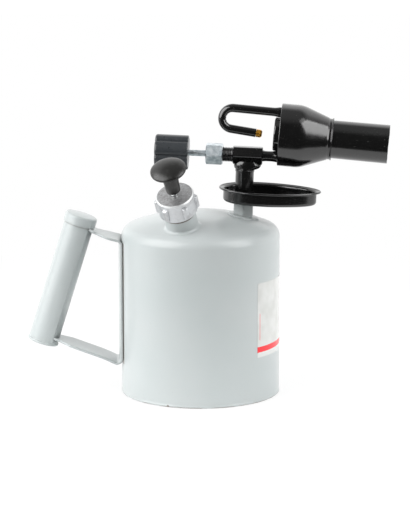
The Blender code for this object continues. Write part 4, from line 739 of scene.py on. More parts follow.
def to_linear(code):
    """Linear red, green, blue and alpha of an sRGB hex colour."""
    parts = np.array([int(code[place : place + 2], 16) for place in (1, 3, 5)]) / 255
    linear = np.where(parts <= 0.04045, parts / 12.92, ((parts + 0.055) / 1.055) ** 2.4)
    return (*linear.tolist(), 1.0)


def add_node(tree, kind, sockets, output=0, **settings):
    """Add a node with its settings and links, and give one of its outputs.

    The sockets are in order, or a dict by name or number. An output is linked, and any other value is set.
    """
    node = tree.nodes.new("ShaderNode" + kind)
    for name, value in settings.items():
        setattr(node, name, value)
    for key, value in sockets.items() if isinstance(sockets, dict) else enumerate(sockets):
        if isinstance(value, bpy.types.NodeSocket):
            tree.links.new(value, node.inputs[key])
        else:
            node.inputs[key].default_value = value
    return node.outputs[output]


def start_material(name, colour, metallic, roughness):
    """A material with its shader's plain values, and the Object coordinates that its patterns read."""
    material = bpy.data.materials.new(name)
    material.use_nodes = True
    shader = material.node_tree.nodes["Principled BSDF"]
    shader.inputs["Base Color"].default_value = colour
    shader.inputs["Metallic"].default_value = metallic
    shader.inputs["Roughness"].default_value = roughness
    return material, material.node_tree, add_node(material.node_tree, "TexCoord", (), "Object")


def pattern(tree, coordinates, name):
    """Noise of this name's row in PATTERNS."""
    size, detail, *spread = PATTERNS[name]
    noise = add_node(tree, "TexNoise", {"Vector": coordinates, "Scale": 1 / size, "Detail": detail})
    return add_node(tree, "MapRange", (noise, *spread))


def product(tree, first, *others):
    """Product of shares: 1 only where all of them are."""
    for other in others:
        first = add_node(tree, "Math", (first, other), operation="MULTIPLY")
    return first


def between(tree, value, low, high):
    """1 where a value lies between two limits, and 0 elsewhere."""
    above = add_node(tree, "Math", (value, low), operation="GREATER_THAN")
    return product(tree, above, add_node(tree, "Math", (value, high), operation="LESS_THAN"))


def along_axis(tree, coordinates, place):
    """Height of a point along a place's Z axis, as the dot product with it, less that of the place's foot."""
    axis = place.col[2].to_3d()
    dot = add_node(tree, "VectorMath", (coordinates, axis), "Value", operation="DOT_PRODUCT")
    return add_node(tree, "Math", (dot, axis.dot(place.translation)), operation="SUBTRACT")


def off_axis(tree, coordinates, place, height):
    """Distance of a point from a place's Z axis: by Pythagoras, from its reach and its height on the axis."""
    foot = place.translation[:]
    reach = add_node(tree, "VectorMath", (coordinates, foot), "Value", operation="DISTANCE")
    squares = product(tree, reach, reach), product(tree, height, height)
    return add_node(tree, "Math", (add_node(tree, "Math", squares, operation="SUBTRACT"),), operation="SQRT")


def dressed(material, coordinates, colour, coats, gloss, bumps):
    """Lay coats over a material's colour, and set its roughness and its bumps.

    A coat is its share and its colour, and a bump its height from 0 to 1 and its depth in metres. A share, a
    height and the gloss are each an output or the name of a pattern.
    """
    tree = material.node_tree
    inputs = tree.nodes["Principled BSDF"].inputs

    def value_of(share):
        return pattern(tree, coordinates, share) if isinstance(share, str) else share

    for share, coat in coats:
        colour = add_node(tree, "Mix", {0: value_of(share), 6: colour, 7: coat}, 2, data_type="RGBA")
    if coats:
        tree.links.new(colour, inputs["Base Color"])
    if gloss:
        tree.links.new(value_of(gloss), inputs["Roughness"])
    under = {}
    for height, depth in bumps:
        under["Normal"] = add_node(tree, "Bump", {"Height": value_of(height), "Distance": depth} | under)
    tree.links.new(under["Normal"], inputs["Normal"])
    return material


def make_grey_paint(finish):
    # Stoved alkyd enamel, sprayed on steel: an even gloss with a faint orange peel, dust in it, and a chip
    # that shows the dark steel at the rim. The rim's foot is darker in patches. Painted shade darkens the
    # neck and the grip just below their caps, and a painted shadow darkens the wall beside the strap.
    material, tree, coordinates = start_material("grey stoved enamel", finish.paint, 0.0, 0.28)
    parts = add_node(tree, "SeparateXYZ", (coordinates,)).node.outputs
    height = parts["Z"]
    specks = pattern(tree, coordinates, "paint specks")
    coats = [("paint patches", finish.paint_shade), (specks, finish.dust)]
    # Painted shade: dark steel colour in a band on the neck and on the grip just below each cap's edge, where
    # the cap's shadow falls.
    for place, start, end, radius, share in (
        (pump_place(), CAP_FOOT - NECK_SHADE_DROP, CAP_TOP, NECK_RADIUS + GAP, NECK_SHADE_SHARE),
        (grip_place(), GRIP_SHADE_FOOT, GRIP_LENGTH, GRIP_RADIUS + GAP / 2, GRIP_SHADE_SHARE),
    ):
        up = along_axis(tree, coordinates, place)
        away = off_axis(tree, coordinates, place, up)
        on_tube = add_node(tree, "Math", (away, radius), operation="LESS_THAN")
        below_end = add_node(tree, "Math", (up, end), operation="LESS_THAN")
        painted_shade = add_node(tree, "MapRange", (up, start - SHADE_FADE, start, 0.0, share))
        coats.append((product(tree, painted_shade, on_tube, below_end), finish.steel_and_shade))
    # Painted shadow: the wall darkened beside and under the strap, where the gap between them lies in shade.
    away = off_axis(tree, coordinates, Matrix(), height)
    wall = add_node(tree, "Math", (away, TANK_RADIUS + GAP / 3), operation="LESS_THAN")
    reach = STRAP_WIDTH / 2 + STRAP_SHADE_REACH
    beside = between(tree, parts["Y"], -reach, reach)
    behind = add_node(tree, "Math", (parts["X"], 0.0), operation="LESS_THAN")
    along = between(tree, height, STRAP_BOTTOM, STRAP_TOP)
    coats.append((product(tree, wall, beside, behind, along, STRAP_SHADE_SHARE), finish.steel_and_shade))
    middle = add_node(tree, "VectorMath", (coordinates, RIM_CHIP), "Value", operation="DISTANCE")
    ragged = add_node(tree, "Math", (middle, pattern(tree, coordinates, "chip edge")), operation="DIVIDE")
    chip = add_node(tree, "MapRange", (ragged, RIM_CHIP_RADIUS, RIM_CHIP_RADIUS * RIM_CHIP_SHARE))
    # The rim's lowest millimetre is darkened in noisy patches.
    at_rim = add_node(tree, "MapRange", (height, RIM_DARK_TOP, RIM_DARK_FOOT))
    rim_dark = product(tree, at_rim, pattern(tree, coordinates, "rim darkening"))
    coats.append((add_node(tree, "Math", (chip, rim_dark), operation="MAXIMUM"), finish.steel_and_shade))
    bumps = (("paint peel", finish.peel_depth), (specks, finish.speck_height))
    return dressed(material, coordinates, finish.paint, coats, "paint gloss", bumps)


def make_black_enamel(finish):
    # Gloss black stove enamel on rough steel tube: near mirror highlights that waver, and pale dust specks.
    material, tree, coordinates = start_material("black stove enamel", finish.enamel, 0.0, 0.10)
    tree.nodes["Principled BSDF"].inputs["IOR"].default_value = ENAMEL_IOR
    coats = [("enamel specks", finish.enamel_dust)]
    bumps = (("enamel waves", finish.enamel_wave), ("enamel grit", finish.enamel_wave / 2))
    return dressed(material, coordinates, finish.enamel, coats, "enamel gloss", bumps)


def make_moulded_plastic(finish, name, knob, roughness):
    # Phenolic moulding powder: a satin, slightly mottled dark surface with rubbed, paler patches.
    colour = getattr(finish, knob)
    material, tree, coordinates = start_material(name, colour, 0.0, roughness)
    coats = [("plastic rubbing", finish.rubbed_plastic)]
    bumps = (("plastic grain", finish.moulding_grain),)
    return dressed(material, coordinates, colour, coats, knob + " gloss", bumps)


def make_zinc_plate(finish):
    # Electroplated zinc on turned steel: a cool satin metal with cloudy patches and fine tool marks.
    material, tree, coordinates = start_material("zinc plate", finish.zinc, 1.0, 0.30)
    coats = [("zinc clouds", finish.zinc_shade)]
    bumps = (("zinc marks", finish.metal_grain),)
    return dressed(material, coordinates, finish.zinc, coats, "zinc gloss", bumps)


def make_cast_alloy(finish):
    # Die-cast zinc alloy: a grey, grainy skin, darker and mottled on top where hands and fuel reach it, and
    # a painted highlight: a band of bright metal round the top's edge.
    material, tree, coordinates = start_material("die-cast zinc alloy", finish.alloy, 1.0, 0.42)
    height = along_axis(tree, coordinates, pump_place())
    away = off_axis(tree, coordinates, pump_place(), height)
    # Painted highlight: bright metal from just below the shoulder up to a ring on the top face, so the rim
    # shines all round.
    ring = CAP_TOP_RADIUS - CAP_HIGHLIGHT_RING
    inside_ring = add_node(tree, "MapRange", (away, ring, ring - CAP_HIGHLIGHT_RING_FADE))
    face = add_node(tree, "Math", (height, CAP_TOP - GAP), operation="GREATER_THAN")
    top = product(tree, face, inside_ring)
    shoulder = CAP_TOP - CAP_SHOULDER
    rim = add_node(tree, "MapRange", (height, shoulder - CAP_HIGHLIGHT_RIM_FADE, shoulder))
    edge = add_node(tree, "Math", (rim, top), operation="SUBTRACT")
    mottle = product(tree, top, pattern(tree, coordinates, "alloy mottle"))
    coats = [(mottle, finish.alloy_stain), ("alloy clouds", finish.alloy_stain), (edge, finish.bright_metal_and_highlight)]
    duller = product(tree, edge, CAP_RIM_DULLING)
    gloss = add_node(tree, "Math", (pattern(tree, coordinates, "alloy gloss"), duller), operation="ADD")
    bumps = (("alloy grain", finish.casting_grain),)
    return dressed(material, coordinates, finish.alloy, coats, gloss, bumps)


def make_drawn_steel(finish):
    # Drawn steel rod: a clear grey reflection, blurred a little round the rod by fine polishing marks.
    material, tree, coordinates = start_material("drawn steel", finish.bright_metal_and_highlight, 1.0, 0.22)
    marks = {"W": along_axis(tree, coordinates, pump_place()), "Scale": 1 / POLISHING_MARKS}
    rings = add_node(tree, "TexNoise", marks, noise_dimensions="1D")
    return dressed(material, coordinates, None, (), "steel gloss", ((rings, finish.metal_grain / 2),))


def make_brass(finish):
    # Turned brass, dulled by handling: a warm satin metal with browner patches and fine scratches.
    material, tree, coordinates = start_material("turned brass", finish.brass, 1.0, 0.28)
    coats = [("brass patches", finish.brass_shade)]
    bumps = (("brass scratches", finish.metal_grain),)
    return dressed(material, coordinates, finish.brass, coats, "brass gloss", bumps)


def make_soft_material(finish, name, kind, roughness):
    # Leather, nitrile rubber or packing fibre: matt, with its own grain and uneven colour.
    colour = getattr(finish, kind)
    material, tree, coordinates = start_material(name, colour, 0.0, roughness)
    coats = [(kind + " patches", getattr(finish, kind + "_shade"))]
    return dressed(material, coordinates, colour, coats, None, ((kind + " grain", finish.soft_grain),))


def make_label_film(finish):
    # Printed polyester film: a glossy pale sheet with one plain red band and a fine red rule, no words.
    material, tree, coordinates = start_material("printed film", finish.film, 0.0, 0.22)
    parts = add_node(tree, "SeparateXYZ", (coordinates,)).node.outputs
    front = product(tree, parts["Y"], -1.0)
    across = add_node(tree, "Math", (parts["X"], front), operation="ARCTAN2")
    height = parts["Z"]
    left = math.radians(LABEL_LEFT) + finish.rule_place / TANK_RADIUS
    rule = between(tree, across, left, left + finish.rule_width / TANK_RADIUS)
    rule = product(tree, rule, between(tree, height, finish.rule_foot, finish.rule_top))
    band = between(tree, height, finish.band_foot, finish.band_top)
    panel = add_node(tree, "Math", (height, finish.band_top), operation="GREATER_THAN")
    sheen = product(tree, panel, pattern(tree, coordinates, "film sheen"))
    printed = add_node(tree, "Math", (band, rule), operation="MAXIMUM")
    coats = [(sheen, finish.film_shade), (printed, finish.band)]
    return dressed(material, coordinates, finish.film, coats, None, (("film waves", finish.peel_depth),))


# How each finish is made, and what sets it apart from others that are made so
MAKERS = {
    "grey_paint": (make_grey_paint,),
    "black_enamel": (make_black_enamel,),
    "valve_plastic": (make_moulded_plastic, "blue-black phenolic", "valve_plastic", 0.30),
    "pump_plastic": (make_moulded_plastic, "brown-black phenolic", "pump_plastic", 0.33),
    "zinc_plate": (make_zinc_plate,),
    "cast_alloy": (make_cast_alloy,),
    "bright_steel": (make_drawn_steel,),
    "brass": (make_brass,),
    "leather": (make_soft_material, "oiled leather", "leather", 0.65),
    "rubber": (make_soft_material, "nitrile rubber", "rubber", 0.70),
    "fibre": (make_soft_material, "graphited packing", "fibre", 0.85),
    "film": (make_label_film,),
}
MATERIALS = {}


def material_of(name):
    """The finish of this name, made the first time that it is asked for."""
    if name not in MATERIALS:
        maker, *values = MAKERS[name]
        MATERIALS[name] = maker(bpy.context.scene.blowlamp_finish, *values)
    return MATERIALS[name]


# Properties


def colour_value(name, code, note):
    settings = {"size": 4, "min": 0.0, "max": 1.0, "default": to_linear(code)}
    return FloatVectorProperty(name=name, description=note, subtype="COLOR", **settings)


def length_value(name, value, note):
    return FloatProperty(name=name, description=note, unit="LENGTH", min=0.0, precision=5, default=value)


def angle_value(name, degrees, note):
    return FloatProperty(name=name, description=note, subtype="ANGLE", default=math.radians(degrees))


def level_value(name, value, note):
    return FloatProperty(name=name, description=note, min=0.0, default=value)


class BlowlampFinish(bpy.types.PropertyGroup):
    """Colours and fine sizes of the lamp's finishes."""

    paint: colour_value("Paint", "#AAAFAF", "Grey paint of the tank and the handle")
    paint_shade: colour_value("Paint shade", "#A7ADAD", "Slightly darker patches in the grey paint")
    dust: colour_value("Dust", "#7E817D", "Specks of dust under the paint")
    # Also the colour of the painted shade below the caps and of the painted shadow beside the strap.
    steel_and_shade: colour_value("Bare steel", "#5A5148", "Dull steel where the paint is chipped")
    enamel: colour_value("Enamel", "#070707", "Black enamel of the burner")
    enamel_dust: colour_value("Enamel dust", "#8A8985", "Pale specks on the black enamel")
    valve_plastic: colour_value("Valve knob", "#2B2E31", "Moulding of the valve knob")
    pump_plastic: colour_value("Pump knob", "#0E0D0B", "Moulding of the pump knob")
    rubbed_plastic: colour_value("Rubbed plastic", "#5B5B5A", "Paler, worn moulding")
    zinc: colour_value("Zinc", "#DCE2E5", "Zinc plate of the gland nut and the spindle")
    zinc_shade: colour_value("Zinc shade", "#AEB8BD", "Cloudy patches in the zinc plate")
    alloy: colour_value("Alloy", "#CCCED0", "Die-cast alloy of the pump cap")
    alloy_stain: colour_value("Alloy stain", "#9D9C9C", "Stained skin of the alloy")
    # Also the colour of the painted highlight round the pump cap's top edge.
    bright_metal_and_highlight: colour_value("Bright metal", "#E6E8E8", "Turned or drawn bare metal")
    brass: colour_value("Brass", "#D9A441", "Brass of the jet")
    brass_shade: colour_value("Brass shade", "#8F6428", "Dulled brass")
    leather: colour_value("Leather", "#6B4A2B", "Leather of the piston cup")
    leather_shade: colour_value("Leather shade", "#4A311B", "Oiled patches of the leather")
    rubber: colour_value("Rubber", "#1C1C1C", "Rubber of the gasket and the washer")
    rubber_shade: colour_value("Rubber shade", "#2B2B2A", "Paler patches of the rubber")
    fibre: colour_value("Packing", "#3A3835", "Packing of the gland")
    fibre_shade: colour_value("Packing shade", "#57534D", "Paler threads of the packing")
    film: colour_value("Film", "#C3C4C2", "Ground of the sticker")
    film_shade: colour_value("Film shade", "#ADADA9", "Softly darker areas of the sticker")
    band: colour_value("Band", "#D8232C", "Plain band and rule of the sticker")
    peel_depth: length_value("Orange peel", 0.0000015, "Depth of the paint's orange peel")
    speck_height: length_value("Speck height", 0.000015, "Height of the dust in the paint")
    enamel_wave: length_value("Enamel wave", 0.000008, "Depth of the waves in the black enamel")
    moulding_grain: length_value("Moulding grain", 0.000004, "Depth of the plastic's grain")
    metal_grain: length_value("Metal grain", 0.000006, "Depth of the fine marks on plated metal")
    casting_grain: length_value("Casting grain", 0.000012, "Depth of the die-cast skin's grain")
    soft_grain: length_value("Soft grain", 0.00005, "Depth of the leather's and the packing's grain")
    band_foot: length_value("Band foot", 0.0420, "Lower edge of the sticker's band")
    band_top: length_value("Band top", 0.0466, "Upper edge of the sticker's band")
    rule_place: length_value("Rule place", 0.0026, "Distance of the rule from the sticker's left edge")
    rule_width: length_value("Rule width", 0.0005, "Width of the rule")
    rule_foot: length_value("Rule foot", 0.0520, "Lower end of the rule")
    rule_top: length_value("Rule top", 0.0740, "Upper end of the rule")


class BlowlampDetail(bpy.types.PropertyGroup):
    """Sizes of the lamp's small forms that the solids leave plain."""

    thread_pitch: length_value("Thread pitch", 0.00125, "Pitch of the thread on the valve body's neck")
    thread_depth: length_value("Thread depth", 0.0005, "Depth of that thread")
    spindle_pitch: length_value("Spindle pitch", 0.0010, "Pitch of the spindle's thread")
    collar_roughness: length_value("Collar roughness", 0.00028, "Uneven cast skin of the air collar")
    bead_roughness: length_value("Bead roughness", 0.00018, "Uneven skin of the brazed joints")
    label_thickness: length_value("Label thickness", 0.0001, "Thickness of the sticker")


class BlowlampStage(bpy.types.PropertyGroup):
    """Floor, lights and camera."""

    camera_place: FloatVectorProperty(
        name="Camera place",
        description="Where the camera stands",
        subtype="TRANSLATION",
        default=(0.003655, -2.096245, 0.531450),
    )
    camera_pitch: angle_value("Camera pitch", 11.3, "How far the camera looks below the horizon")
    lens: FloatProperty(name="Lens", description="Focal length", unit="CAMERA", default=182.456)
    floor_reach: length_value("Floor reach", 0.90, "Distance of the floor's side edges")
    floor_front: length_value("Floor front", 0.25, "Distance of the floor's front edge")
    floor_back: length_value("Floor back", 3.0, "Distance of the floor's rear edge")
    floor_level: level_value("Floor level", 1.15, "Brightness of the floor in reflections")
    floor_colour: colour_value("Floor", "#F4F5F5", "Pale floor")
    floor_glow: level_value("Floor glow", 0.84, "Share of the floor near the lamp that is white")
    shadow_reach: length_value("Shadow reach", 0.195, "Distance to which the floor's shadow is full")
    shadow_end: length_value("Shadow end", 0.585, "Distance at which the floor's shadow has faded out")
    left_azimuth: angle_value("Left azimuth", -62.0, "Where the left light stands, from the front")
    left_distance: length_value("Left distance", 1.3, "Distance of the left light from the lamp's axis")
    left_lift: length_value("Left lift", 0.80, "Height of the left light's middle")
    left_width: length_value("Left width", 1.55, "Width of the left light")
    left_height: length_value("Left height", 1.50, "Height of the left light")
    left_level: level_value("Left level", 5.1, "Brightness of the left light")
    right_azimuth: angle_value("Right azimuth", 60.0, "Where the right light stands, from the front")
    right_distance: length_value("Right distance", 1.3, "Distance of the right light from the lamp's axis")
    right_lift: length_value("Right lift", 0.80, "Height of the right light's middle")
    right_width: length_value("Right width", 0.90, "Width of the right light")
    right_height: length_value("Right height", 1.50, "Height of the right light")
    right_level: level_value("Right level", 4.7, "Brightness of the right light")
    upper_azimuth: angle_value("Upper azimuth", 53.0, "Where the upper light hangs, from the front")
    upper_distance: length_value("Upper distance", 0.714, "Distance of the upper light from the lamp's axis")
    upper_lift: length_value("Upper lift", 1.31, "Height of the upper light's middle")
    upper_width: length_value("Upper width", 0.52, "Width of the upper light")
    upper_height: length_value("Upper height", 0.35, "Depth of the upper light")
    upper_level: level_value("Upper level", 1.7, "Brightness of the upper light")
    front_level: level_value("Front level", 0.07, "Brightness of the room in front")
    back_level: level_value("Back level", 1.4, "Brightness of the room behind")
    top_level: level_value("Top level", 0.4, "Brightness of the room above")


# Pieces


def tank_shell():
    """Both walls in one outline: rim, wall, quarter shoulder and spherical dome, spun to its poles."""
    edge = 90 - DOME_EDGE_SLOPE
    shoulder = (TANK_RADIUS - SHOULDER_RADIUS, TANK_WALL_HEIGHT)
    inside = TANK_RADIUS - TANK_WALL
    rim = TANK_RADIUS + RIM_FLARE
    inner_dome = arc((0, DOME_CENTRE), DOME_RADIUS - TANK_WALL, 90, edge, SHOULDER_STEPS)
    inner_shoulder = arc(shoulder, SHOULDER_RADIUS - TANK_WALL, edge, 0)[1:]
    corners = [(inside, RIM_LIFT + RIM_HEIGHT), (inside, RIM_LIFT), (rim, RIM_LIFT)]
    corners += [(rim, RIM_LIFT + RIM_HEIGHT * RIM_STEP_SHARE), (TANK_RADIUS, RIM_LIFT + RIM_HEIGHT)]
    corners.append((TANK_RADIUS, RIM_LIFT + RIM_HEIGHT * 3))
    radii = (0, TANK_WALL / 4, TANK_WALL / 3, TANK_WALL / 2, TANK_WALL / 2, 0)
    lower = softened(corners, radii, looped=False)
    wall = upright(TANK_RADIUS, np.linspace(RIM_HEIGHT * 4, TANK_WALL_HEIGHT, SHOULDER_STEPS)[:-1])
    outer_shoulder = arc(shoulder, SHOULDER_RADIUS, 0, edge, SHOULDER_STEPS)
    outer_dome = arc((0, DOME_CENTRE), DOME_RADIUS, edge, 90, DOME_STEPS)[1:]
    outline = np.vstack((inner_dome, inner_shoulder, lower, wall, outer_shoulder, outer_dome))
    outline[[0, -1], 0] = 0
    return turned(outline, TANK_STEPS)


def tank_base():
    """A pan with a raised ring bead and a rounded corner up to its flange, spun to its poles."""
    radius = TANK_RADIUS - TANK_WALL - GAP
    inner = BASE_BEAD_RADIUS - BASE_BEAD_WIDTH / 2
    outer = BASE_BEAD_RADIUS + BASE_BEAD_WIDTH / 2
    rise = BASE_BEAD_HEIGHT
    corners = [(0, 0), (inner, 0), (inner + rise, rise), (outer - rise, rise), (outer, 0), (radius, 0)]
    corners += [(radius, BASE_FLANGE), (radius - BASE_THICKNESS, BASE_FLANGE)]
    corners += [(radius - BASE_THICKNESS, BASE_THICKNESS), (outer, BASE_THICKNESS)]
    corners += [(outer - rise, BASE_THICKNESS + rise), (inner + rise, BASE_THICKNESS + rise)]
    corners += [(inner, BASE_THICKNESS), (0, BASE_THICKNESS)]
    bend, edge = rise * 2, BASE_THICKNESS / 3
    radii = (0, bend, bend, bend, bend, BASE_CORNER, edge, edge, BASE_CORNER - BASE_THICKNESS)
    radii += (bend, bend, bend, bend, 0)
    return turned(softened(corners, radii, looped=False), TANK_STEPS)


def filler_neck():
    """Tube walls, and a quarter-round fillet whose rings lie on the dome, a little wavy as a braze is."""
    place = pump_place()
    steps = ROUND_STEPS
    uneven = 1 + waves(angles(steps), BRAZE_WAVE_SHARES)
    bore = NECK_RADIUS - NECK_WALL
    walls = [circle(bore, NECK_HEIGHT, steps), circle(NECK_RADIUS - GAP, NECK_HEIGHT, steps)]
    walls.append(circle(NECK_RADIUS, NECK_HEIGHT - GAP, steps))
    for bend in np.linspace(0, math.pi / 2, ARC_STEPS + 1):
        radius = NECK_RADIUS + NECK_FILLET * uneven * (1 - math.cos(bend))
        fillet = on_dome(place, steps, radius, GAP / 3)
        fillet[:, 2] += NECK_FILLET * uneven * (1 - math.sin(bend))
        walls.append(fillet)
    walls.append(on_dome(place, steps, NECK_RADIUS + NECK_FILLET * uneven, -GAP))
    walls.append(on_dome(place, steps, NECK_RADIUS, -GAP))
    walls += [circle(NECK_RADIUS, -NECK_DEPTH, steps), circle(bore, -NECK_DEPTH, steps)]
    return np.stack(walls)


def boss_pad():
    """Rings on the dome with a rounded, wavy outer edge, where the braze has run out from under the boss."""
    place = riser_place()
    steps = ROUND_STEPS
    uneven = PAD_RADIUS * waves(angles(steps), BRAZE_WAVE_SHARES) * PAD_WAVE_SHARE
    inner = BOSS_STEM_RADIUS + GAP
    pad = [on_dome(place, steps, inner, 0), on_dome(place, steps, PAD_RADIUS + uneven, 0)]
    for bend in np.linspace(0, math.pi / 2, CORNER_STEPS + 1):
        radius = PAD_RADIUS - PAD_ROUNDING * 2 * (1 - math.cos(bend)) + uneven
        pad.append(on_dome(place, steps, radius, GAP + PAD_THICKNESS * math.sin(bend)))
    pad.append(on_dome(place, steps, inner, GAP + PAD_THICKNESS))
    return np.stack(pad)


def riser_boss():
    """Hexagon from the dome to a chamfered top, then a spigot, a bore and a stem."""
    place = riser_place() @ turn(BOSS_TURN, "Z")
    steps = SMALL_STEPS
    seat = GAP + PAD_THICKNESS
    boss = [on_dome(place, steps, BOSS_STEM_RADIUS, seat)]
    flats = hexagon(BOSS_ACROSS_FLATS, steps)
    boss += [on_dome(place, steps, flats, seat), on_dome(place, steps, flats, seat + GAP)]
    boss += hexagon_end(BOSS_ACROSS_FLATS, BOSS_HEIGHT, 1, steps)
    spigot = BOSS_HEIGHT + BOSS_SPIGOT_HEIGHT
    outline = ((BOSS_SPIGOT_RADIUS, BOSS_HEIGHT), (BOSS_SPIGOT_RADIUS, spigot), (BOSS_BORE, spigot))
    outline += ((BOSS_BORE, -BOSS_STEM_DEPTH), (BOSS_STEM_RADIUS, -BOSS_STEM_DEPTH))
    boss += [circle(radius, height, steps) for radius, height in outline]
    return np.stack(boss), place


def pump_cap():
    """Closed outline of the cap, whose skirt swells into six lugs.

    A lug's section is half a superellipse across its width. Its top is rounded back to the skirt by a quarter
    of an ellipse.
    """
    hole = ROD_RADIUS + GAP
    bore = NECK_RADIUS + GAP
    lug_foot = CAP_FOOT + CAP_LUG_LIFT
    lug_top = lug_foot + CAP_LUG_HEIGHT
    outer = CAP_SKIRT_RADIUS + CAP_LUG_REACH
    inner = (bore + CAP_SKIRT_RADIUS) / 2
    skirt_top = CAP_TOP - CAP_SHOULDER
    rows = np.linspace(CAP_FOOT + CAP_EDGE, skirt_top, CAP_ROWS)
    draft = np.interp(rows, (CAP_FOOT, skirt_top), (CAP_SKIRT_RADIUS, CAP_UPPER_RADIUS))
    skirt = np.column_stack((draft, rows))
    corners = [(CAP_UPPER_RADIUS, skirt_top - CAP_EDGE), (CAP_UPPER_RADIUS, skirt_top)]
    corners += [(CAP_TOP_RADIUS, CAP_TOP), (hole, CAP_TOP), (hole, CAP_CEILING), (bore, CAP_CEILING)]
    corners += [(bore, CAP_FOOT), (CAP_SKIRT_RADIUS, CAP_FOOT), (CAP_SKIRT_RADIUS, CAP_FOOT + CAP_EDGE)]
    radii = (0, CAP_EDGE / 2, CAP_EDGE / 2, CAP_EDGE / 2, 0, 0, 0, CAP_EDGE / 2, 0)
    outline = np.vstack((skirt, softened(corners, radii, looped=False)[1:-1]))

    def lugs(angle, radius, height):
        spacing = math.tau / CAP_LUGS
        from_lug = (angle - math.radians(CAP_LUG_PHASE) + spacing / 2) % spacing - spacing / 2
        across = np.abs(from_lug) * CAP_SKIRT_RADIUS
        inside = np.clip(across / (CAP_LUG_WIDTH / 2 + CAP_LUG_SOFTNESS), 0, 1)
        started = np.clip((height - lug_foot) / CAP_LUG_SOFTNESS, 0, 1)
        past = np.clip((height - lug_top + CAP_LUG_SLOPE) / CAP_LUG_SLOPE, 0, 1)
        face = inner + (outer - inner) * np.sqrt(1 - past**2)
        on_skirt = (radius > CAP_UPPER_RADIUS - GAP) & (height < skirt_top)
        ease = (1 - inside**CAP_LUG_ROUNDNESS) ** (1 / CAP_LUG_ROUNDNESS) * started
        return np.where(on_skirt, ease * np.maximum(face - radius, 0), 0)

    return turned(outline, LUG_STEPS, lugs)


def pump_rod():
    """Rod with a thinner, threaded foot inside the pump, spun round its axis."""
    outline = [(0, ROD_FOOT), (ROD_THREAD_RADIUS, ROD_FOOT), (ROD_THREAD_RADIUS, ROD_THREAD_TOP)]
    outline += [(ROD_RADIUS, ROD_THREAD_TOP), (ROD_RADIUS, ROD_TOP), (0, ROD_TOP)]
    radii = (0, ROD_CHAMFER, 0, ROD_CHAMFER, ROD_CHAMFER, 0)
    return turned(softened(outline, radii, looped=False), SMALL_STEPS)


def pump_knob():
    """Mushroom: a stem that widens upwards, a flat underside, a rim with its parting line, a low crown."""
    bore = ROD_RADIUS + GAP
    rim_foot = PUMP_KNOB_FOOT + PUMP_KNOB_STEM + PUMP_KNOB_UNDERSIDE
    rim_top = rim_foot + PUMP_KNOB_RIM
    edge = PUMP_KNOB_EDGE
    line = PARTING_LINE
    middle = (rim_foot + rim_top) / 2
    corners = [(0, ROD_TOP + GAP), (bore, ROD_TOP + GAP), (bore, PUMP_KNOB_FOOT)]
    stem_top = rim_foot - PUMP_KNOB_UNDERSIDE
    corners += [(PUMP_KNOB_STEM_RADIUS, PUMP_KNOB_FOOT), (PUMP_KNOB_NECK_RADIUS, stem_top)]
    corners += [(PUMP_KNOB_RADIUS * PUMP_KNOB_EDGE_SHARE, rim_foot), (PUMP_KNOB_RADIUS, rim_foot + edge)]
    corners += [(PUMP_KNOB_RADIUS, middle - line), (PUMP_KNOB_RADIUS + line, middle)]
    corners += [(PUMP_KNOB_RADIUS, middle + line), (PUMP_KNOB_RADIUS, rim_top)]
    radii = (0, 0, 0, edge, edge * 2, edge, edge, line, line / 2, line, 0)
    lower = softened(corners, radii, looped=False)
    angle = np.linspace(0, math.pi / 2, CROWN_STEPS)[1:]
    rise = PUMP_KNOB_CROWN * np.sin(angle) ** CROWN_POWER
    crown = np.column_stack((PUMP_KNOB_RADIUS * np.cos(angle), rim_top + rise))
    outline = np.vstack((lower, crown))
    outline[-1, 0] = 0
    return turned(outline, ROUND_STEPS)


def tray_outline(half_length, half_width, height):
    """An egg: an ellipse whose width shrinks along its length by the taper's share of the cosine."""
    angle = angles(TRAY_STEPS)
    along = TRAY_CENTRE + half_length * np.cos(angle)
    across = half_width * (1 - TRAY_TAPER_SHARE * np.cos(angle)) * np.sin(angle)
    return np.column_stack(np.broadcast_arrays(along, across, height))


def priming_tray():
    """Egg outlines: floor, rounded corner, wall that flares by a power of its height, and a rolled rim."""
    floor_length, floor_width = TRAY_FLOOR_LENGTH / 2, TRAY_FLOOR_WIDTH / 2
    flare_length, flare_width = TRAY_RIM_LENGTH / 2 - floor_length, TRAY_RIM_WIDTH / 2 - floor_width
    up = np.linspace(0, 1, TRAY_WALL_STEPS + 1)
    flare = up**TRAY_FLARE_POWER
    rise = TRAY_CORNER + (TRAY_DEPTH - TRAY_CORNER) * up
    bead = TRAY_BEAD_RADIUS
    rows = []
    bends = np.linspace(0, math.pi / 2, CORNER_STEPS * 2 + 1)[:-1]
    for bend in bends:
        inset = TRAY_CORNER * (1 - math.sin(bend))
        rows.append((floor_length - inset, floor_width - inset, TRAY_CORNER * (1 - math.cos(bend))))
    for share, height in zip(flare[:-2], rise[:-2]):
        rows.append((floor_length + flare_length * share, floor_width + flare_width * share, height))
    for bend in np.linspace(-math.pi / 3, math.pi, ARC_STEPS):
        inset = bead * (1 - math.cos(bend))
        height = TRAY_DEPTH - bead + bead * math.sin(bend)
        rows.append((TRAY_RIM_LENGTH / 2 - inset, TRAY_RIM_WIDTH / 2 - inset, height))
    for share, height in zip(flare[-3::-1], rise[-3::-1]):
        length = floor_length + flare_length * share - TRAY_THICKNESS
        rows.append((length, floor_width + flare_width * share - TRAY_THICKNESS, height))
    inner = TRAY_CORNER - TRAY_THICKNESS
    for bend in bends[::-1]:
        inset = TRAY_CORNER - inner * math.sin(bend)
        rows.append((floor_length - inset, floor_width - inset, TRAY_CORNER - inner * math.cos(bend)))
    dish = [tray_outline(*row) for row in rows]
    hole = circle(BOSS_SPIGOT_RADIUS + GAP * 2, 0, TRAY_STEPS)
    top_hole = hole + np.array((0, 0, TRAY_THICKNESS))
    under = [hole + (dish[0] - hole) * share for share in TRAY_UNDER_SHARES]
    over = [dish[-1] + (top_hole - dish[-1]) * share for share in TRAY_OVER_SHARES]
    return np.stack(under + dish + over)


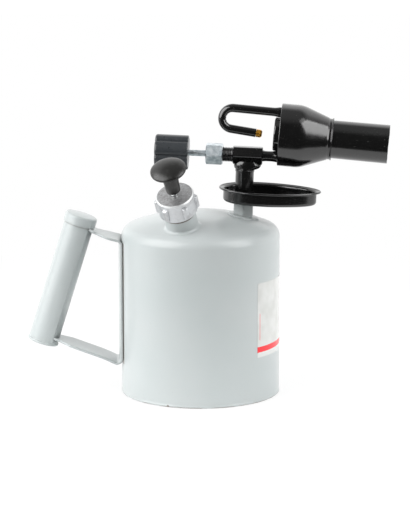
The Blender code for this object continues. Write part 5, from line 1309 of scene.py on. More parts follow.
def riser_pipe():
    """Pipe with a shallow ring at its top, spun round its axis."""
    ring_foot = RISER_TOP - RISER_RING_HEIGHT
    corners = [(RISER_BORE, RISER_FOOT), (RISER_RADIUS, RISER_FOOT), (RISER_RADIUS, ring_foot)]
    corners += [(RISER_RING_RADIUS, ring_foot), (RISER_RING_RADIUS, RISER_TOP), (RISER_BORE, RISER_TOP)]
    edge = RISER_RING_HEIGHT / 3
    radii = (0, GAP, GAP, edge, edge, 0)
    return turned(softened(corners, radii), SMALL_STEPS)


def thread_swell(pitch, depth, start, end):
    """Depth times a rounded triangle wave of height over pitch less the turn, faded in at both ends."""

    def swell(angle, radius, height):
        phase = (height / pitch - angle / math.tau) % 1
        valley = 0.5 + 0.5 * np.cos(phase * math.tau)
        fade = np.clip(np.minimum(height - start, end - height) / pitch, 0, 1)
        return -depth * valley**THREAD_POWER * fade

    return swell


def tee_bar(detail):
    """Hexagonal bar with chamfered ends, and the threaded neck behind it with its packing bore."""
    steps = SMALL_STEPS
    socket = FEED_RADIUS + GAP
    bar = [circle(socket, FEED_SOCKET - TEE_FRONT, steps), circle(socket, -TEE_FRONT, steps)]
    bar += hexagon_end(TEE_ACROSS_FLATS, -TEE_FRONT, -1, steps)
    bar += hexagon_end(TEE_ACROSS_FLATS, TEE_BACK, 1, steps)
    rows = np.arange(TEE_BACK, TEE_NECK_END, detail.thread_pitch / THREAD_ROWS)
    neck = upright(TEE_NECK_RADIUS, rows)
    swell = thread_swell(detail.thread_pitch, detail.thread_depth, TEE_BACK + GAP, TEE_NECK_END + GAP)
    bar += list(turned(neck, steps, swell))
    floor = TEE_NECK_END - PACKING_DEPTH
    inside = ((TEE_NECK_RADIUS - GAP, TEE_NECK_END), (PACKING_RADIUS, TEE_NECK_END), (PACKING_RADIUS, floor))
    bar += [circle(radius, height, steps) for radius, height in inside]
    bar += list(closed_end(bar[-1]))
    return np.stack(list(closed_end(bar[0]))[::-1] + bar)


def tee_bead(detail):
    """Bowl of braze under the bar: ovals that widen as a quarter ellipse from the riser, then sink."""
    steps = SMALL_STEPS
    angle = angles(steps)
    rough = detail.bead_roughness * waves(angle, BEAD_WAVE_SHARES)
    rows = [circle(TEE_SPIGOT_RADIUS, height, steps) for height in (TEE_FOOT - TEE_SPIGOT, TEE_FOOT)]
    foot = circle(RISER_RADIUS - GAP, TEE_FOOT, steps)
    middle = (BEAD_FRONT - BEAD_BACK) / 2

    def oval(share, height):
        along = middle + (BEAD_FRONT + BEAD_BACK) / 2 * share * np.cos(angle)
        across = BEAD_WIDTH / 2 * share * np.sin(angle)
        return np.column_stack(np.broadcast_arrays(along, across, height))

    for bend in np.linspace(0, math.pi / 2, ARC_STEPS):
        share = math.sin(bend)
        height = TEE_FOOT + BEAD_HEIGHT * (1 - math.cos(bend)) + rough * share * (1 - share) * 4
        spread = oval(1, height) * np.array((share, share, 1))
        rows.append(foot * np.array((1 - share, 1 - share, 0)) + spread)
    rows += [oval(share, TEE_FOOT + BEAD_HEIGHT + BEAD_SINK * lift) for share, lift in BEAD_SINK_SHARES]
    return np.stack(list(closed_end(rows[0]))[::-1] + rows + list(closed_end(rows[-1])))


def gland_nut():
    """Hexagon between two chamfered ends, with a wide threaded bore and a small hole in its face."""
    steps = SMALL_STEPS
    thread = TEE_NECK_RADIUS + GAP
    nut = [circle(thread, NUT_START, steps)]
    nut += hexagon_end(NUT_ACROSS_FLATS, NUT_START, -1, steps)
    nut += hexagon_end(NUT_ACROSS_FLATS, NUT_END, 1, steps)
    hole = SPINDLE_RADIUS + GAP
    inside = ((hole, NUT_END), (hole, NUT_END - NUT_FACE), (thread, NUT_END - NUT_FACE))
    nut += [circle(radius, height, steps) for radius, height in inside]
    return np.stack(nut)


def valve_spindle(detail):
    """Rod with a helical thread on its front part."""
    threaded = np.arange(0, SPINDLE_THREAD_LENGTH, detail.spindle_pitch / SPINDLE_ROWS)
    front = upright(SPINDLE_THREAD_RADIUS, threaded)
    corners = [(SPINDLE_THREAD_RADIUS, SPINDLE_THREAD_LENGTH), (SPINDLE_RADIUS, SPINDLE_THREAD_LENGTH)]
    corners += [(SPINDLE_RADIUS, SPINDLE_END), (0, SPINDLE_END)]
    rear = softened(corners, (0, 0, GAP, 0), looped=False)
    outline = np.vstack(([(0, 0)], front, rear))
    swell = thread_swell(detail.spindle_pitch, detail.spindle_pitch / 3, 0, SPINDLE_THREAD_LENGTH)
    return turned(outline, SMALL_STEPS, lambda *at: np.where(at[1] > SPINDLE_RADIUS + GAP, swell(*at), 0))


def valve_knob():
    """Cylinder with rounded ends, less a narrow and a wide Gaussian between each two of its six lobes."""
    rows = [(SPINDLE_RADIUS + GAP, KNOB_START)]
    start, end = KNOB_START_ROUNDING, KNOB_END_ROUNDING
    front = arc((KNOB_RADIUS - start, KNOB_START + start), start, -90, 0, KNOB_FRONT_STEPS)
    sides = np.linspace(KNOB_START + start, KNOB_END - end, KNOB_SIDE_ROWS)[1:-1]
    back = arc((KNOB_RADIUS - end, KNOB_END - end), end, 0, 90)
    recess = KNOB_END - KNOB_RECESS_DEPTH
    inner = [(KNOB_RECESS_RADIUS + GAP, KNOB_END), (KNOB_RECESS_RADIUS, KNOB_END - GAP)]
    inner += [(KNOB_RECESS_RADIUS, recess), (SPINDLE_RADIUS + GAP, recess)]
    outline = np.vstack((rows, front, upright(KNOB_RADIUS, sides), back, inner))

    def grooves(angle, radius, height):
        spacing = 360 / KNOB_LOBES
        from_groove = (np.degrees(angle) + spacing / 2) % spacing - spacing / 2
        narrow = np.exp(-((2 * from_groove / KNOB_GROOVE_WIDTH) ** 2))
        wide = np.exp(-((2 * from_groove / KNOB_LOBE_WIDTH) ** 2))
        groove = KNOB_GROOVE_DEPTH * (narrow * (1 - KNOB_LOBE_SHARE) + wide * KNOB_LOBE_SHARE)
        reach = np.clip((radius - KNOB_RECESS_RADIUS) / (KNOB_RADIUS - end - KNOB_RECESS_RADIUS), 0, 1)
        return -groove * reach**2

    return turned(outline, LOBE_STEPS, grooves)


def knob_screw():
    """Cheese head, whose slot is a heightfield: the top sinks where y is within half the slot's width."""
    seat = KNOB_END - KNOB_RECESS_DEPTH + GAP
    top = seat + SCREW_HEAD_HEIGHT
    corners = [(0, seat - SCREW_LENGTH), (SCREW_RADIUS, seat - SCREW_LENGTH), (SCREW_RADIUS, seat)]
    corners += [(SCREW_HEAD_RADIUS, seat), (SCREW_HEAD_RADIUS, top)]
    lower = softened(corners, (0, 0, 0, 0, 0), looped=False)
    face = [(radius, top) for radius in np.linspace(SCREW_HEAD_RADIUS - GAP, 0, SCREW_FACE_ROWS)]
    grid = turned(np.vstack((lower, face)), LOBE_STEPS // 2)
    slot = np.clip((SCREW_SLOT_WIDTH / 2 - np.abs(grid[..., 1])) / (GAP / 3) + 0.5, 0, 1)
    grid[len(lower) :, :, 2] -= SCREW_SLOT_DEPTH * slot[len(lower) :]
    return grid


def feed_tube():
    """Tube with a lump of braze at its end by the bell, whose radius waves round it."""
    start = FEED_SOCKET - TEE_FRONT - GAP
    end = -(BURNER_START + TUBE_END_DEPTH)
    bore = TUBE_RADIUS + GAP
    face = -(BURNER_START - PLATE_RECESS)
    lip = -TEE_FRONT
    outside = upright(FEED_RADIUS, np.linspace(end, start, FEED_ROWS))
    outline = np.vstack(([(bore, end)], outside, [(bore, start)]))

    def lumps(angle, radius, height):
        at_bell = np.exp(-(((height - face) / BRAZE_LENGTH) ** 2))
        at_valve = np.exp(-(((height - lip) / BRAZE_LENGTH * 2) ** 2)) / 2
        lump = BRAZE_HEIGHT * (at_bell + at_valve) * (1 + waves(angle, FEED_WAVE_SHARES))
        return np.where(radius > bore + GAP / 2, lump, 0)

    return turned(outline, SMALL_STEPS, lumps)


def vapour_path():
    """Middle line of the vapour tube: straight out of the bell, round the bend and straight to the jet."""
    centre = np.array((VAPOUR_BEND_X, 0, VAPOUR_BEND_HEIGHT))
    angle = np.radians(np.linspace(90 - VAPOUR_UPPER_SLOPE, 270 - VAPOUR_LOWER_SLOPE, BEND_STEPS + 1))
    bend = centre + VAPOUR_BEND_RADIUS * np.column_stack((np.cos(angle), np.zeros_like(angle), np.sin(angle)))
    upper = BURNER_START + TUBE_END_DEPTH - bend[0, 0]
    lower = VAPOUR_LOWER_END - bend[-1, 0]
    first = bend[0] + upper * np.array((1, 0, -math.tan(math.radians(VAPOUR_UPPER_SLOPE))))
    last = bend[-1] + lower * np.array((1, 0, -math.tan(math.radians(VAPOUR_LOWER_SLOPE))))
    run = np.linspace(0, 1, VAPOUR_UPPER_ROWS)[:-1, None]
    back = np.linspace(0, 1, VAPOUR_LOWER_ROWS)[1:, None]
    return np.vstack((first + (bend[0] - first) * run, bend, bend[-1] + (last - bend[-1]) * back))


def vapour_tube():
    """Tube along its path. Inside the bend it is flattened by a cosine squared, with a few creases."""
    path = vapour_path()
    travelled = travel(path)[0]
    length = travelled[-1]
    first = VAPOUR_UPPER_ROWS - 1
    bend_start, bend_end = travelled[first] / length, travelled[first + BEND_STEPS] / length
    face = TUBE_END_DEPTH / length

    def pressed(angle, share):
        within = np.clip((share - bend_start) / (bend_end - bend_start), 0, 1)
        arch = np.sin(within * math.pi)
        inner = np.clip(-np.cos(angle), 0, 1) ** 2
        creases = BEND_CREASE_SHARE * np.cos(within * math.tau * BEND_CREASES)
        pinched = 1 - inner * arch * (BEND_FLATTENING_SHARE + creases)
        braze = BRAZE_HEIGHT / TUBE_RADIUS * np.exp(-(((share - face) * length / BRAZE_LENGTH) ** 2))
        return pinched + braze * (1 + waves(angle, VAPOUR_WAVE_SHARES))

    outside = swept(path, TUBE_RADIUS, SMALL_STEPS // 2, pressed)
    bore = TUBE_RADIUS - TUBE_WALL
    inside = swept(path, bore, SMALL_STEPS // 2, lambda *at: pressed(*at) ** VAPOUR_BORE_POWER)
    return np.concatenate((outside, inside[::-1]))


def jet_nozzle():
    """Turned jet: shank, a body with two fine grooves, a cone and a fine hole in its tip."""
    shank = TUBE_RADIUS - TUBE_WALL - GAP
    tip = GAP + JET_LENGTH
    cone = tip - JET_TIP_LENGTH
    corners = [(0, -JET_SHANK_LENGTH), (shank, -JET_SHANK_LENGTH), (shank, GAP), (JET_RADIUS, GAP)]
    for share in JET_GROOVE_SHARES:
        groove = GAP + JET_LENGTH * share
        corners += [(JET_RADIUS, groove), (JET_RADIUS - JET_GROOVE, groove + JET_GROOVE / 2)]
        corners.append((JET_RADIUS, groove + JET_GROOVE))
    corners += [(JET_RADIUS, cone), (JET_TIP_RADIUS, tip), (JET_ORIFICE, tip), (JET_ORIFICE, cone), (0, cone)]
    radii = [JET_EDGE / 2] * len(corners)
    radii[0] = radii[-1] = radii[-2] = 0
    return turned(softened(corners, radii, looped=False), SMALL_STEPS)


def burner_bell():
    """Closed outline of the bell's wall: rounded rim, cylinder, softly creased cone, groove and lip."""
    groove = BELL_NECK_RADIUS - BELL_NECK_STEP
    cone_end = BELL_CONE_END
    corners = [(BELL_BORE, 0), (BELL_RADIUS, 0), (BELL_RADIUS, BELL_CYLINDER), (BELL_NECK_RADIUS, cone_end)]
    groove_start, groove_end, step_end = (cone_end + BELL_GROOVE * share for share in BELL_GROOVE_SHARES)
    corners += [(groove, groove_start), (groove, groove_end)]
    corners += [(BELL_NECK_RADIUS, step_end), (BELL_NECK_RADIUS, BELL_END)]
    corners += [(FLAME_TUBE_SEAT, BELL_END), (FLAME_TUBE_SEAT, cone_end - BELL_RIM_ROUNDING)]
    corners.append((BELL_BORE, BELL_CYLINDER - BELL_WALL / 4))
    rim, step = BELL_RIM_ROUNDING, BELL_NECK_STEP
    radii = (rim, BELL_REAR_ROUNDING, BELL_CREASE, BELL_NECK_FILLET)
    radii += (step, step, step, step, GAP, 0, BELL_CREASE)
    return turned(softened(corners, radii), BELL_STEPS)


def air_collar(detail):
    """Closed outline of the collar and its mixing tube. The outside is uneven by a sum of sines."""
    face = PLATE_RECESS - GAP
    rear = -COLLAR_LENGTH
    tube = AIR_BORE + AIR_TUBE_WALL
    corners = [(AIR_BORE + COLLAR_FLARE, rear), (COLLAR_RADIUS, rear), (COLLAR_RADIUS, face), (tube, face)]
    corners += [(tube, AIR_TUBE_DEPTH), (AIR_BORE, AIR_TUBE_DEPTH), (AIR_BORE, rear + COLLAR_FLARE)]
    rounding = COLLAR_ROUNDING
    radii = (COLLAR_FLARE / 4, rounding, GAP, 0, AIR_TUBE_WALL / 3, AIR_TUBE_WALL / 3, rounding)

    def rough(angle, radius, height):
        lean = height / COLLAR_ROUNDING
        rows = [(count, start + lean * leans, share) for count, start, share, leans in COLLAR_WAVE_SHARES]
        return np.where(radius > tube + GAP, detail.collar_roughness * waves(angle, rows), 0)

    return turned(softened(corners, radii), ROUND_STEPS, rough)


def flame_tube():
    """Tube whose mouth's edge is uneven by a sum of sines."""
    start = BELL_END - FLAME_TUBE_INSET
    end = BELL_END + FLAME_TUBE_REACH
    corners = [(FLAME_TUBE_RADIUS - FLAME_TUBE_WALL, start), (FLAME_TUBE_RADIUS, start)]
    corners += [(FLAME_TUBE_RADIUS, BELL_END), (FLAME_TUBE_MOUTH_RADIUS, end - FLAME_TUBE_WALL * 2)]
    corners += [(FLAME_TUBE_MOUTH_RADIUS, end), (FLAME_TUBE_MOUTH_RADIUS - FLAME_TUBE_WALL, end)]
    corners.append((FLAME_TUBE_MOUTH_RADIUS - FLAME_TUBE_WALL, end - FLAME_TUBE_WALL * 2))
    radii = (0, 0, 0, 0, FLAME_TUBE_WALL / 4, FLAME_TUBE_WALL / 4, 0)
    grid = turned(softened(corners, radii), ROUND_STEPS)
    uneven = FLAME_TUBE_BURR * waves(angles(ROUND_STEPS), MOUTH_WAVE_SHARES)
    grid[..., 2] += np.where(grid[..., 2] > end - FLAME_TUBE_WALL, uneven, 0)
    return grid


def on_grip(out, height):
    """A point this far out from the grip's axis, towards the tank, and this high along it."""
    return np.array(grip_place() @ Vector((out, 0, height)))


def rounded_path(corners, radii):
    """Straight runs joined by circular arcs that are tangent to them, then spread at an even step."""
    path = [corners[0][None]]
    for before, corner, after, radius in zip(corners, corners[1:], corners[2:], radii):
        arriving = (corner - before) / np.linalg.norm(corner - before)
        leaving = (after - corner) / np.linalg.norm(after - corner)
        bend = math.acos(np.clip(arriving @ leaving, -1, 1))
        inward = leaving - arriving * (arriving @ leaving)
        inward /= np.linalg.norm(inward)
        start = corner - arriving * radius * math.tan(bend / 2)
        angle = np.linspace(0, bend, ARC_STEPS + 1)[:, None]
        path.append(start + arriving * radius * np.sin(angle) + inward * radius * (1 - np.cos(angle)))
    path.append(corners[-1][None])
    path = np.vstack(path)
    travelled = travel(path)[0]
    even = np.arange(0, travelled[-1], STRAP_STEP)
    at = np.unique(np.concatenate((even, travelled)))
    at = at[np.concatenate(((True,), np.diff(at) > STRAP_STEP / 20))]
    return np.column_stack([np.interp(at, travelled, path[:, axis]) for axis in range(3)]), at


def handle_strap(grow=0.0):
    """A rounded rectangle carried along the strap's path.

    Its width follows the distance from the nearer end, narrow in the grip. On the tank's wall it is dished
    to the wall's radius, and the dish fades out beyond the corners.
    """
    upper_tip = on_grip(GRIP_RADIUS * UPPER_TIP_SHARE, GRIP_LENGTH - UPPER_TIP_DROP)
    upper_bend = on_grip(GRIP_RADIUS * UPPER_BEND_SHARE, GRIP_LENGTH - UPPER_BEND_DROP)
    upper, lower = np.array((STRAP_X, 0, STRAP_TOP)), np.array((STRAP_X, 0, STRAP_BOTTOM))
    corners = [upper_tip, upper_bend, upper, lower, on_grip(0, LOWER_TAB_HEIGHT)]
    path, travelled = rounded_path(corners, (TAB_HOOK_RADIUS, STRAP_CORNER_RADIUS, STRAP_CORNER_RADIUS))
    along = travel(path)[1]
    inward = np.column_stack((-along[:, 2], np.zeros(len(path)), along[:, 0]))
    from_end = np.minimum(travelled, travelled[-1] - travelled)
    half = np.interp(
        from_end,
        (0, TAB_TIP_LENGTH, TAB_LENGTH, TAB_LENGTH + TAB_SHOULDER),
        (TAB_TIP_WIDTH / 2, TAB_WIDTH / 2, TAB_WIDTH / 2, STRAP_WIDTH / 2),
    )
    on_wall = travelled[np.abs(path[:, 0] - STRAP_X) < GAP / 3]
    off_wall = np.maximum(np.maximum(on_wall[0] - travelled, travelled - on_wall[-1]), 0)
    camber = np.clip(1 - off_wall / STRAP_CAMBER_FADE, 0, 1) ** 2
    edge = STRAP_EDGE
    side = STRAP_THICKNESS / 2 + grow
    flat = np.linspace(-1, 1, STRAP_WIDTH_STEPS)
    bend = np.radians(np.linspace(0, 90, CORNER_STEPS + 1))
    share = np.concatenate((flat, np.ones(CORNER_STEPS * 2), flat[::-1], -np.ones(CORNER_STEPS * 2)))
    out_arc, up_arc = np.sin(bend), np.cos(bend)
    zeros = np.zeros(STRAP_WIDTH_STEPS)
    out = np.concatenate((zeros, out_arc[1:], out_arc[-2::-1], zeros, -out_arc[1:], -out_arc[-2::-1]))
    deep = np.concatenate((zeros - 1, -up_arc[1:], up_arc[-2::-1], zeros + 1, up_arc[1:], -up_arc[-2::-1]))
    ones = np.ones(CORNER_STEPS)
    core = np.concatenate((zeros - 1, -ones, ones, zeros + 1, ones, -ones))
    across = share * (half[:, None] + grow - edge) + out * edge
    depth = core * (side - edge) + deep * edge
    dish = camber[:, None] * (-STRAP_X - np.sqrt(STRAP_X**2 - across**2))
    grid = path[:, None] + inward[:, None] * (dish + depth)[..., None]
    grid[..., 1] += across
    return np.concatenate((closed_end(grid[0])[::-1], grid, closed_end(grid[-1])))


def handle_grip():
    """Tube with a rolled lip round its open lower end."""
    bore = GRIP_RADIUS - GRIP_WALL
    lip = GRIP_RADIUS + GRIP_LIP
    height = GRIP_LIP_HEIGHT
    corners = [(bore, 0), (lip, 0), (lip, height), (GRIP_RADIUS, height + GRIP_LIP_TAPER)]
    corners += [(GRIP_RADIUS, GRIP_LENGTH), (bore, GRIP_LENGTH)]
    return turned(softened(corners, (GAP, height / 2, height / 2, height / 3, GAP, GAP)), ROUND_STEPS)


def grip_cap():
    """Pressed cap: skirt, rounded corner and a crown that rises as a cosine, with its inside under it."""
    bore = GRIP_RADIUS + GAP
    ceiling = GRIP_LENGTH + GAP
    top = ceiling + GRIP_CAP_THICKNESS
    foot = top - GRIP_CAP_SKIRT
    edge = GRIP_CAP_THICKNESS / 3
    corners = [(0, ceiling), (bore, ceiling), (bore, foot), (GRIP_CAP_RADIUS, foot)]
    corners.append((GRIP_CAP_RADIUS, foot + GRIP_CAP_THICKNESS))
    lower = softened(corners, (0, 0, edge, edge, 0), looped=False)
    rounding = GRIP_CAP_ROUNDING
    corner = arc((GRIP_CAP_RADIUS - rounding, top - rounding), rounding, 0, GRIP_CAP_BEND)
    crown_edge, crown_foot = corner[-1]
    radius = np.linspace(crown_edge, 0, GRIP_CAP_ROWS)[1:]
    rise = crown_foot + (top + GRIP_CAP_CROWN - crown_foot) * np.cos(radius / crown_edge * math.pi / 2)
    outline = np.vstack((lower, corner, np.column_stack((radius, rise))))
    outline[-1, 0] = 0
    return turned(outline, ROUND_STEPS)


def label_patch(detail):
    """A thin sheet on the tank's wall: rings of its section, from the lower edge to the upper one."""
    azimuth = np.radians(np.linspace(LABEL_LEFT, LABEL_RIGHT, LABEL_STEPS))
    inner = TANK_RADIUS + LABEL_LIFT
    outer = inner + detail.label_thickness
    rows = np.linspace(LABEL_FOOT, LABEL_TOP, LABEL_ROWS)
    around = np.concatenate((azimuth, azimuth[::-1]))
    radius = np.concatenate((np.full(LABEL_STEPS, outer), np.full(LABEL_STEPS, inner)))
    x, y = radius * np.sin(around), -radius * np.cos(around)
    grid = np.stack([np.column_stack(np.broadcast_arrays(x, y, row)) for row in rows])
    flat = grid[[0, -1]].copy()
    flat[:, LABEL_STEPS:] = grid[[0, -1], LABEL_STEPS - 1 :: -1]
    return np.concatenate((flat[:1], grid, flat[1:]))


# Operators


class BLOWLAMP_OT_tank(bpy.types.Operator):
    """Make the tank's shell and base"""

    bl_idname = "blowlamp.tank"
    bl_label = "Tank"

    def execute(self, context):
        add_surface("tank_body", [tank_shell()], "tank", "tank_shell", "grey_paint", looped=False)
        add_surface("tank_pan", [tank_base()], "tank", "tank_base", "grey_paint", looped=False)
        return {"FINISHED"}


class BLOWLAMP_OT_fittings(bpy.types.Operator):
    """Make the filler neck, the riser boss and its pad"""

    bl_idname = "blowlamp.fittings"
    bl_label = "Neck and boss"

    def execute(self, context):
        add_surface("brazed_neck", [filler_neck()], "tank", "filler_neck", "grey_paint", pump_place())
        add_surface("brazed_pad", [boss_pad()], "tank", "boss_pad", "grey_paint", riser_place())
        boss, place = riser_boss()
        add_surface("hexagon_boss", [boss], "tank", "riser_boss", "grey_paint", place, sharp=HEXAGON_SHARP)
        return {"FINISHED"}


class BLOWLAMP_OT_handle(bpy.types.Operator):
    """Make the strap, the grip and its cap"""

    bl_idname = "blowlamp.handle"
    bl_label = "Handle"

    def execute(self, context):
        add_surface("bent_strap", [handle_strap()], "tank", "handle_strap", "grey_paint", looped=False)
        place = grip_place()
        grip = add_surface("grip_tube", [handle_grip()], "tank", "handle_grip", "grey_paint", place)
        cap = add_surface("grip_top", [grip_cap()], "tank", "grip_cap", "grey_paint", place, looped=False)
        for piece in (grip, cap):
            cut(piece, add_surface("strap_space", [handle_strap(GAP)], None, "", "grey_paint", looped=False))
        return {"FINISHED"}


class BLOWLAMP_OT_pump(bpy.types.Operator):
    """Make the pump's cap, rod and knob"""

    bl_idname = "blowlamp.pump"
    bl_label = "Pump"

    def execute(self, context):
        place = pump_place()
        add_surface("lugged_cap", [pump_cap()], "cap", "pump_cap", "cast_alloy", place, sharp=TURNED_SHARP)
        add_surface("pump_shaft", [pump_rod()], "plunger", "pump_rod", "bright_steel", place, looped=False)
        knob = [pump_knob()]
        add_surface("mushroom_knob", knob, "plunger", "pump_knob", "pump_plastic", place, looped=False)
        return {"FINISHED"}


class BLOWLAMP_OT_tray(bpy.types.Operator):
    """Make the priming tray"""

    bl_idname = "blowlamp.tray"
    bl_label = "Priming tray"

    def execute(self, context):
        add_surface("flared_tray", [priming_tray()], "tank", "priming_tray", "black_enamel", tray_place())
        return {"FINISHED"}


class BLOWLAMP_OT_riser(bpy.types.Operator):
    """Make the riser pipe and the valve body on it"""

    bl_idname = "blowlamp.riser"
    bl_label = "Riser and valve body"

    def execute(self, context):
        place = riser_place()
        add_surface("riser_tube", [riser_pipe()], "tank", "riser_pipe", "black_enamel", place)
        detail = context.scene.blowlamp_detail
        bar = placed(tee_bar(detail), place.inverted() @ valve_place() @ turn(TEE_TURN, "Z"))
        shells = [bar, tee_bead(detail)]
        add_surface("tee_casting", shells, "tank", "tee_body", "black_enamel", place, False, HEXAGON_SHARP)
        return {"FINISHED"}


class BLOWLAMP_OT_valve(bpy.types.Operator):
    """Make the gland nut, the spindle, the valve knob and its screw"""

    bl_idname = "blowlamp.valve"
    bl_label = "Valve"

    def execute(self, context):
        place = valve_place()
        flats = place @ turn(NUT_TURN, "Z")
        nut = [gland_nut()]
        add_surface("hexagon_nut", nut, "tank", "gland_nut", "zinc_plate", flats, sharp=HEXAGON_SHARP)
        rod = [valve_spindle(context.scene.blowlamp_detail)]
        add_surface("plated_spindle", rod, "spindle", "valve_spindle", "zinc_plate", place, looped=False)
        lobes = place @ turn(KNOB_GROOVE_PHASE, "Z")
        add_surface("lobed_knob", [valve_knob()], "spindle", "valve_knob", "valve_plastic", lobes)
        screw = [knob_screw()]
        add_surface("slotted_screw", screw, "spindle", "knob_screw", "zinc_plate", lobes, looped=False)
        return {"FINISHED"}


class BLOWLAMP_OT_fuel_tubes(bpy.types.Operator):
    """Make the feed tube, the vapour tube and the jet"""

    bl_idname = "blowlamp.fuel_tubes"
    bl_label = "Fuel tubes and jet"

    def execute(self, context):
        feed = [feed_tube()]
        add_surface("lower_tube", feed, "tank", "feed_tube", "black_enamel", valve_place())
        add_surface("bent_tube", [vapour_tube()], "tank", "vapour_tube", "black_enamel", riser_place())
        jet = [jet_nozzle()]
        add_surface("turned_jet", jet, "tank", "jet_nozzle", "brass", jet_place(), False, TURNED_SHARP)
        return {"FINISHED"}


class BLOWLAMP_OT_burner(bpy.types.Operator):
    """Make the bell, the air collar and the flame tube"""

    bl_idname = "blowlamp.burner"
    bl_label = "Burner"

    def execute(self, context):
        place = burner_place()
        collar = air_collar(context.scene.blowlamp_detail)
        add_surface("spun_bell", [burner_bell()], "tank", "burner_bell", "black_enamel", place)
        add_surface("rear_collar", [collar], "tank", "air_collar", "black_enamel", place)
        add_surface("front_tube", [flame_tube()], "tank", "flame_tube", "black_enamel", place)
        return {"FINISHED"}


class BLOWLAMP_OT_label(bpy.types.Operator):
    """Make the plain sticker on the tank's wall"""

    bl_idname = "blowlamp.label"
    bl_label = "Sticker"

    def execute(self, context):
        sheet = [label_patch(context.scene.blowlamp_detail)]
        add_surface("plain_sticker", sheet, "tank", "", "film", looped=False)
        return {"FINISHED"}


class BLOWLAMP_OT_inner_parts(bpy.types.Operator):
    """Give the parts inside the lamp their finishes"""

    bl_idname = "blowlamp.inner_parts"
    bl_label = "Inner parts"

    def execute(self, context):
        for finish, nodes in INNER_PARTS.items():
            for node in nodes.split():
                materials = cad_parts[node].data.materials
                materials.clear()
                materials.append(material_of(finish))
        return {"FINISHED"}


class BLOWLAMP_OT_stage(bpy.types.Operator):
    """Make the floor, the lights, the room and the camera"""

    bl_idname = "blowlamp.stage"
    bl_label = "Stage"

    def execute(self, context):
        stage = context.scene.blowlamp_stage
        add_floor(stage)
        for side in ("left", "right", "upper"):
            add_soft_light(stage, side)
        set_room(context.scene, stage)
        view = bpy.data.cameras.new("front_camera")
        view.lens = stage.lens
        camera = add_object("front_camera", view)
        camera.location = stage.camera_place
        camera.rotation_euler = (math.pi / 2 - stage.camera_pitch, 0, 0)
        context.scene.camera = camera
        context.scene.view_settings.view_transform = "Standard"
        return {"FINISHED"}


def add_floor(stage):
    """A square floor. The camera and reflections see it as nearly white, and it keeps a faint shadow."""
    side, front, back = stage.floor_reach, -stage.floor_front, stage.floor_back
    corners = [(-side, front, 0), (side, front, 0), (side, back, 0), (-side, back, 0)]
    mesh = bpy.data.meshes.new("floor")
    mesh.from_pydata(corners, [], [(0, 1, 2, 3)])
    material, tree, coordinates = start_material("pale floor", stage.floor_colour, 0.0, 0.9)
    rays = add_node(tree, "LightPath", ()).node.outputs
    seen = rays["Is Camera Ray"]
    for ray in ("Is Glossy Ray", "Is Transmission Ray"):
        seen = add_node(tree, "Math", (seen, rays[ray]), operation="MAXIMUM")
    extra = product(tree, rays["Is Glossy Ray"], stage.floor_level - 1)
    strength = add_node(tree, "Math", (extra, 1.0), operation="ADD")
    glow = add_node(tree, "Emission", {"Color": (1, 1, 1, 1), "Strength": strength})
    away = add_node(tree, "VectorMath", (coordinates,), "Value", operation="LENGTH")
    glowing = (away, stage.shadow_reach, stage.shadow_end, stage.floor_glow, 1.0)
    share = product(tree, seen, add_node(tree, "MapRange", glowing))
    plain = tree.nodes["Principled BSDF"].outputs[0]
    tree.links.new(add_node(tree, "MixShader", (share, plain, glow)), tree.nodes["Material Output"].inputs[0])
    mesh.materials.append(material)
    floor = add_object("floor", mesh)


def add_soft_light(stage, side):
    """The soft light of one side, which faces the lamp. Its power is its level times pi times its area."""
    azimuth, distance, lift, width, height, level = (
        getattr(stage, f"{side}_{value}") for value in "azimuth distance lift width height level".split()
    )
    lamp = bpy.data.lights.new(side + "_softbox", "AREA")
    lamp.shape = "RECTANGLE"
    lamp.size, lamp.size_y = width, height
    lamp.energy = level * math.pi * width * height
    light = add_object(side + "_softbox", lamp)
    light.location = (math.sin(azimuth) * distance, -math.cos(azimuth) * distance, lift)
    target = Vector((0, 0, TANK_WALL_HEIGHT))
    light.rotation_euler = (target - light.location).to_track_quat("-Z", "Y").to_euler()


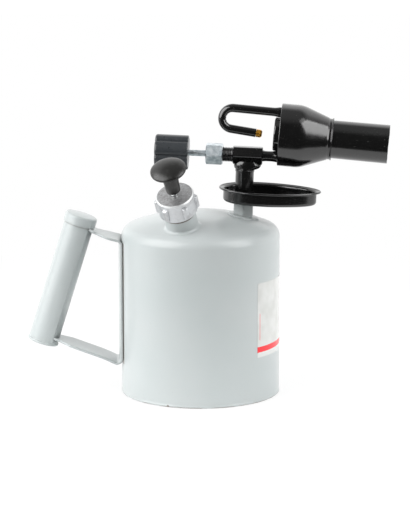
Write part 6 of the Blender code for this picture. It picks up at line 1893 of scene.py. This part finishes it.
def set_room(scene, stage):
    """White for the camera. Else the room is dim in front, which is -Y, and bright behind and above."""
    world = bpy.data.worlds.new("pale room")
    world.use_nodes = True
    tree = world.node_tree
    direction = add_node(tree, "TexCoord", (), "Generated")
    parts = add_node(tree, "SeparateXYZ", (direction,)).node.outputs
    front_to_back = (parts["Y"], *ROOM_BACK_FADE, stage.front_level, stage.back_level)
    behind = add_node(tree, "MapRange", front_to_back)
    above = add_node(tree, "MapRange", (parts["Z"], *ROOM_TOP_FADE, 0.0, stage.top_level))
    sides = add_node(tree, "MapRange", (parts["Z"], *ROOM_SIDE_FADE, 1.0, 0.0))
    level = add_node(tree, "Math", (product(tree, behind, sides), above), operation="ADD")
    camera_ray = add_node(tree, "LightPath", (), "Is Camera Ray")
    level = add_node(tree, "Math", (level, camera_ray), operation="MAXIMUM")
    background = tree.nodes["Background"].inputs
    tree.links.new(level, background["Strength"])
    background["Color"].default_value = (1, 1, 1, 1)
    scene.world = world


class BLOWLAMP_PT_panel(bpy.types.Panel):
    """Lists the steps and their values"""

    bl_idname = "BLOWLAMP_PT_panel"
    bl_label = "Petrol blowlamp"
    bl_space_type = "VIEW_3D"
    bl_region_type = "UI"
    bl_category = "Blowlamp"

    def draw(self, context):
        for step in STEPS:
            self.layout.operator(step.bl_idname)
        for key in GROUPS:
            group = getattr(context.scene, key)
            box = self.layout.box()
            for name in group.__annotations__:
                box.prop(group, name)


STEPS = (
    BLOWLAMP_OT_stage,
    BLOWLAMP_OT_tank,
    BLOWLAMP_OT_fittings,
    BLOWLAMP_OT_handle,
    BLOWLAMP_OT_pump,
    BLOWLAMP_OT_tray,
    BLOWLAMP_OT_riser,
    BLOWLAMP_OT_valve,
    BLOWLAMP_OT_fuel_tubes,
    BLOWLAMP_OT_burner,
    BLOWLAMP_OT_label,
    BLOWLAMP_OT_inner_parts,
)
GROUPS = {
    "blowlamp_finish": BlowlampFinish,
    "blowlamp_detail": BlowlampDetail,
    "blowlamp_stage": BlowlampStage,
}


def register():
    for item in (*GROUPS.values(), *STEPS, BLOWLAMP_PT_panel):
        bpy.utils.register_class(item)
    for key, group in GROUPS.items():
        setattr(bpy.types.Scene, key, PointerProperty(type=group))


def unregister():
    for key in GROUPS:
        delattr(bpy.types.Scene, key)
    for item in reversed((*GROUPS.values(), *STEPS, BLOWLAMP_PT_panel)):
        bpy.utils.unregister_class(item)


def main():
    register()
    for step in STEPS:
        name = step.bl_idname.split(".")[1]
        getattr(bpy.ops.blowlamp, name)()


if __name__ == "__main__":
    main()
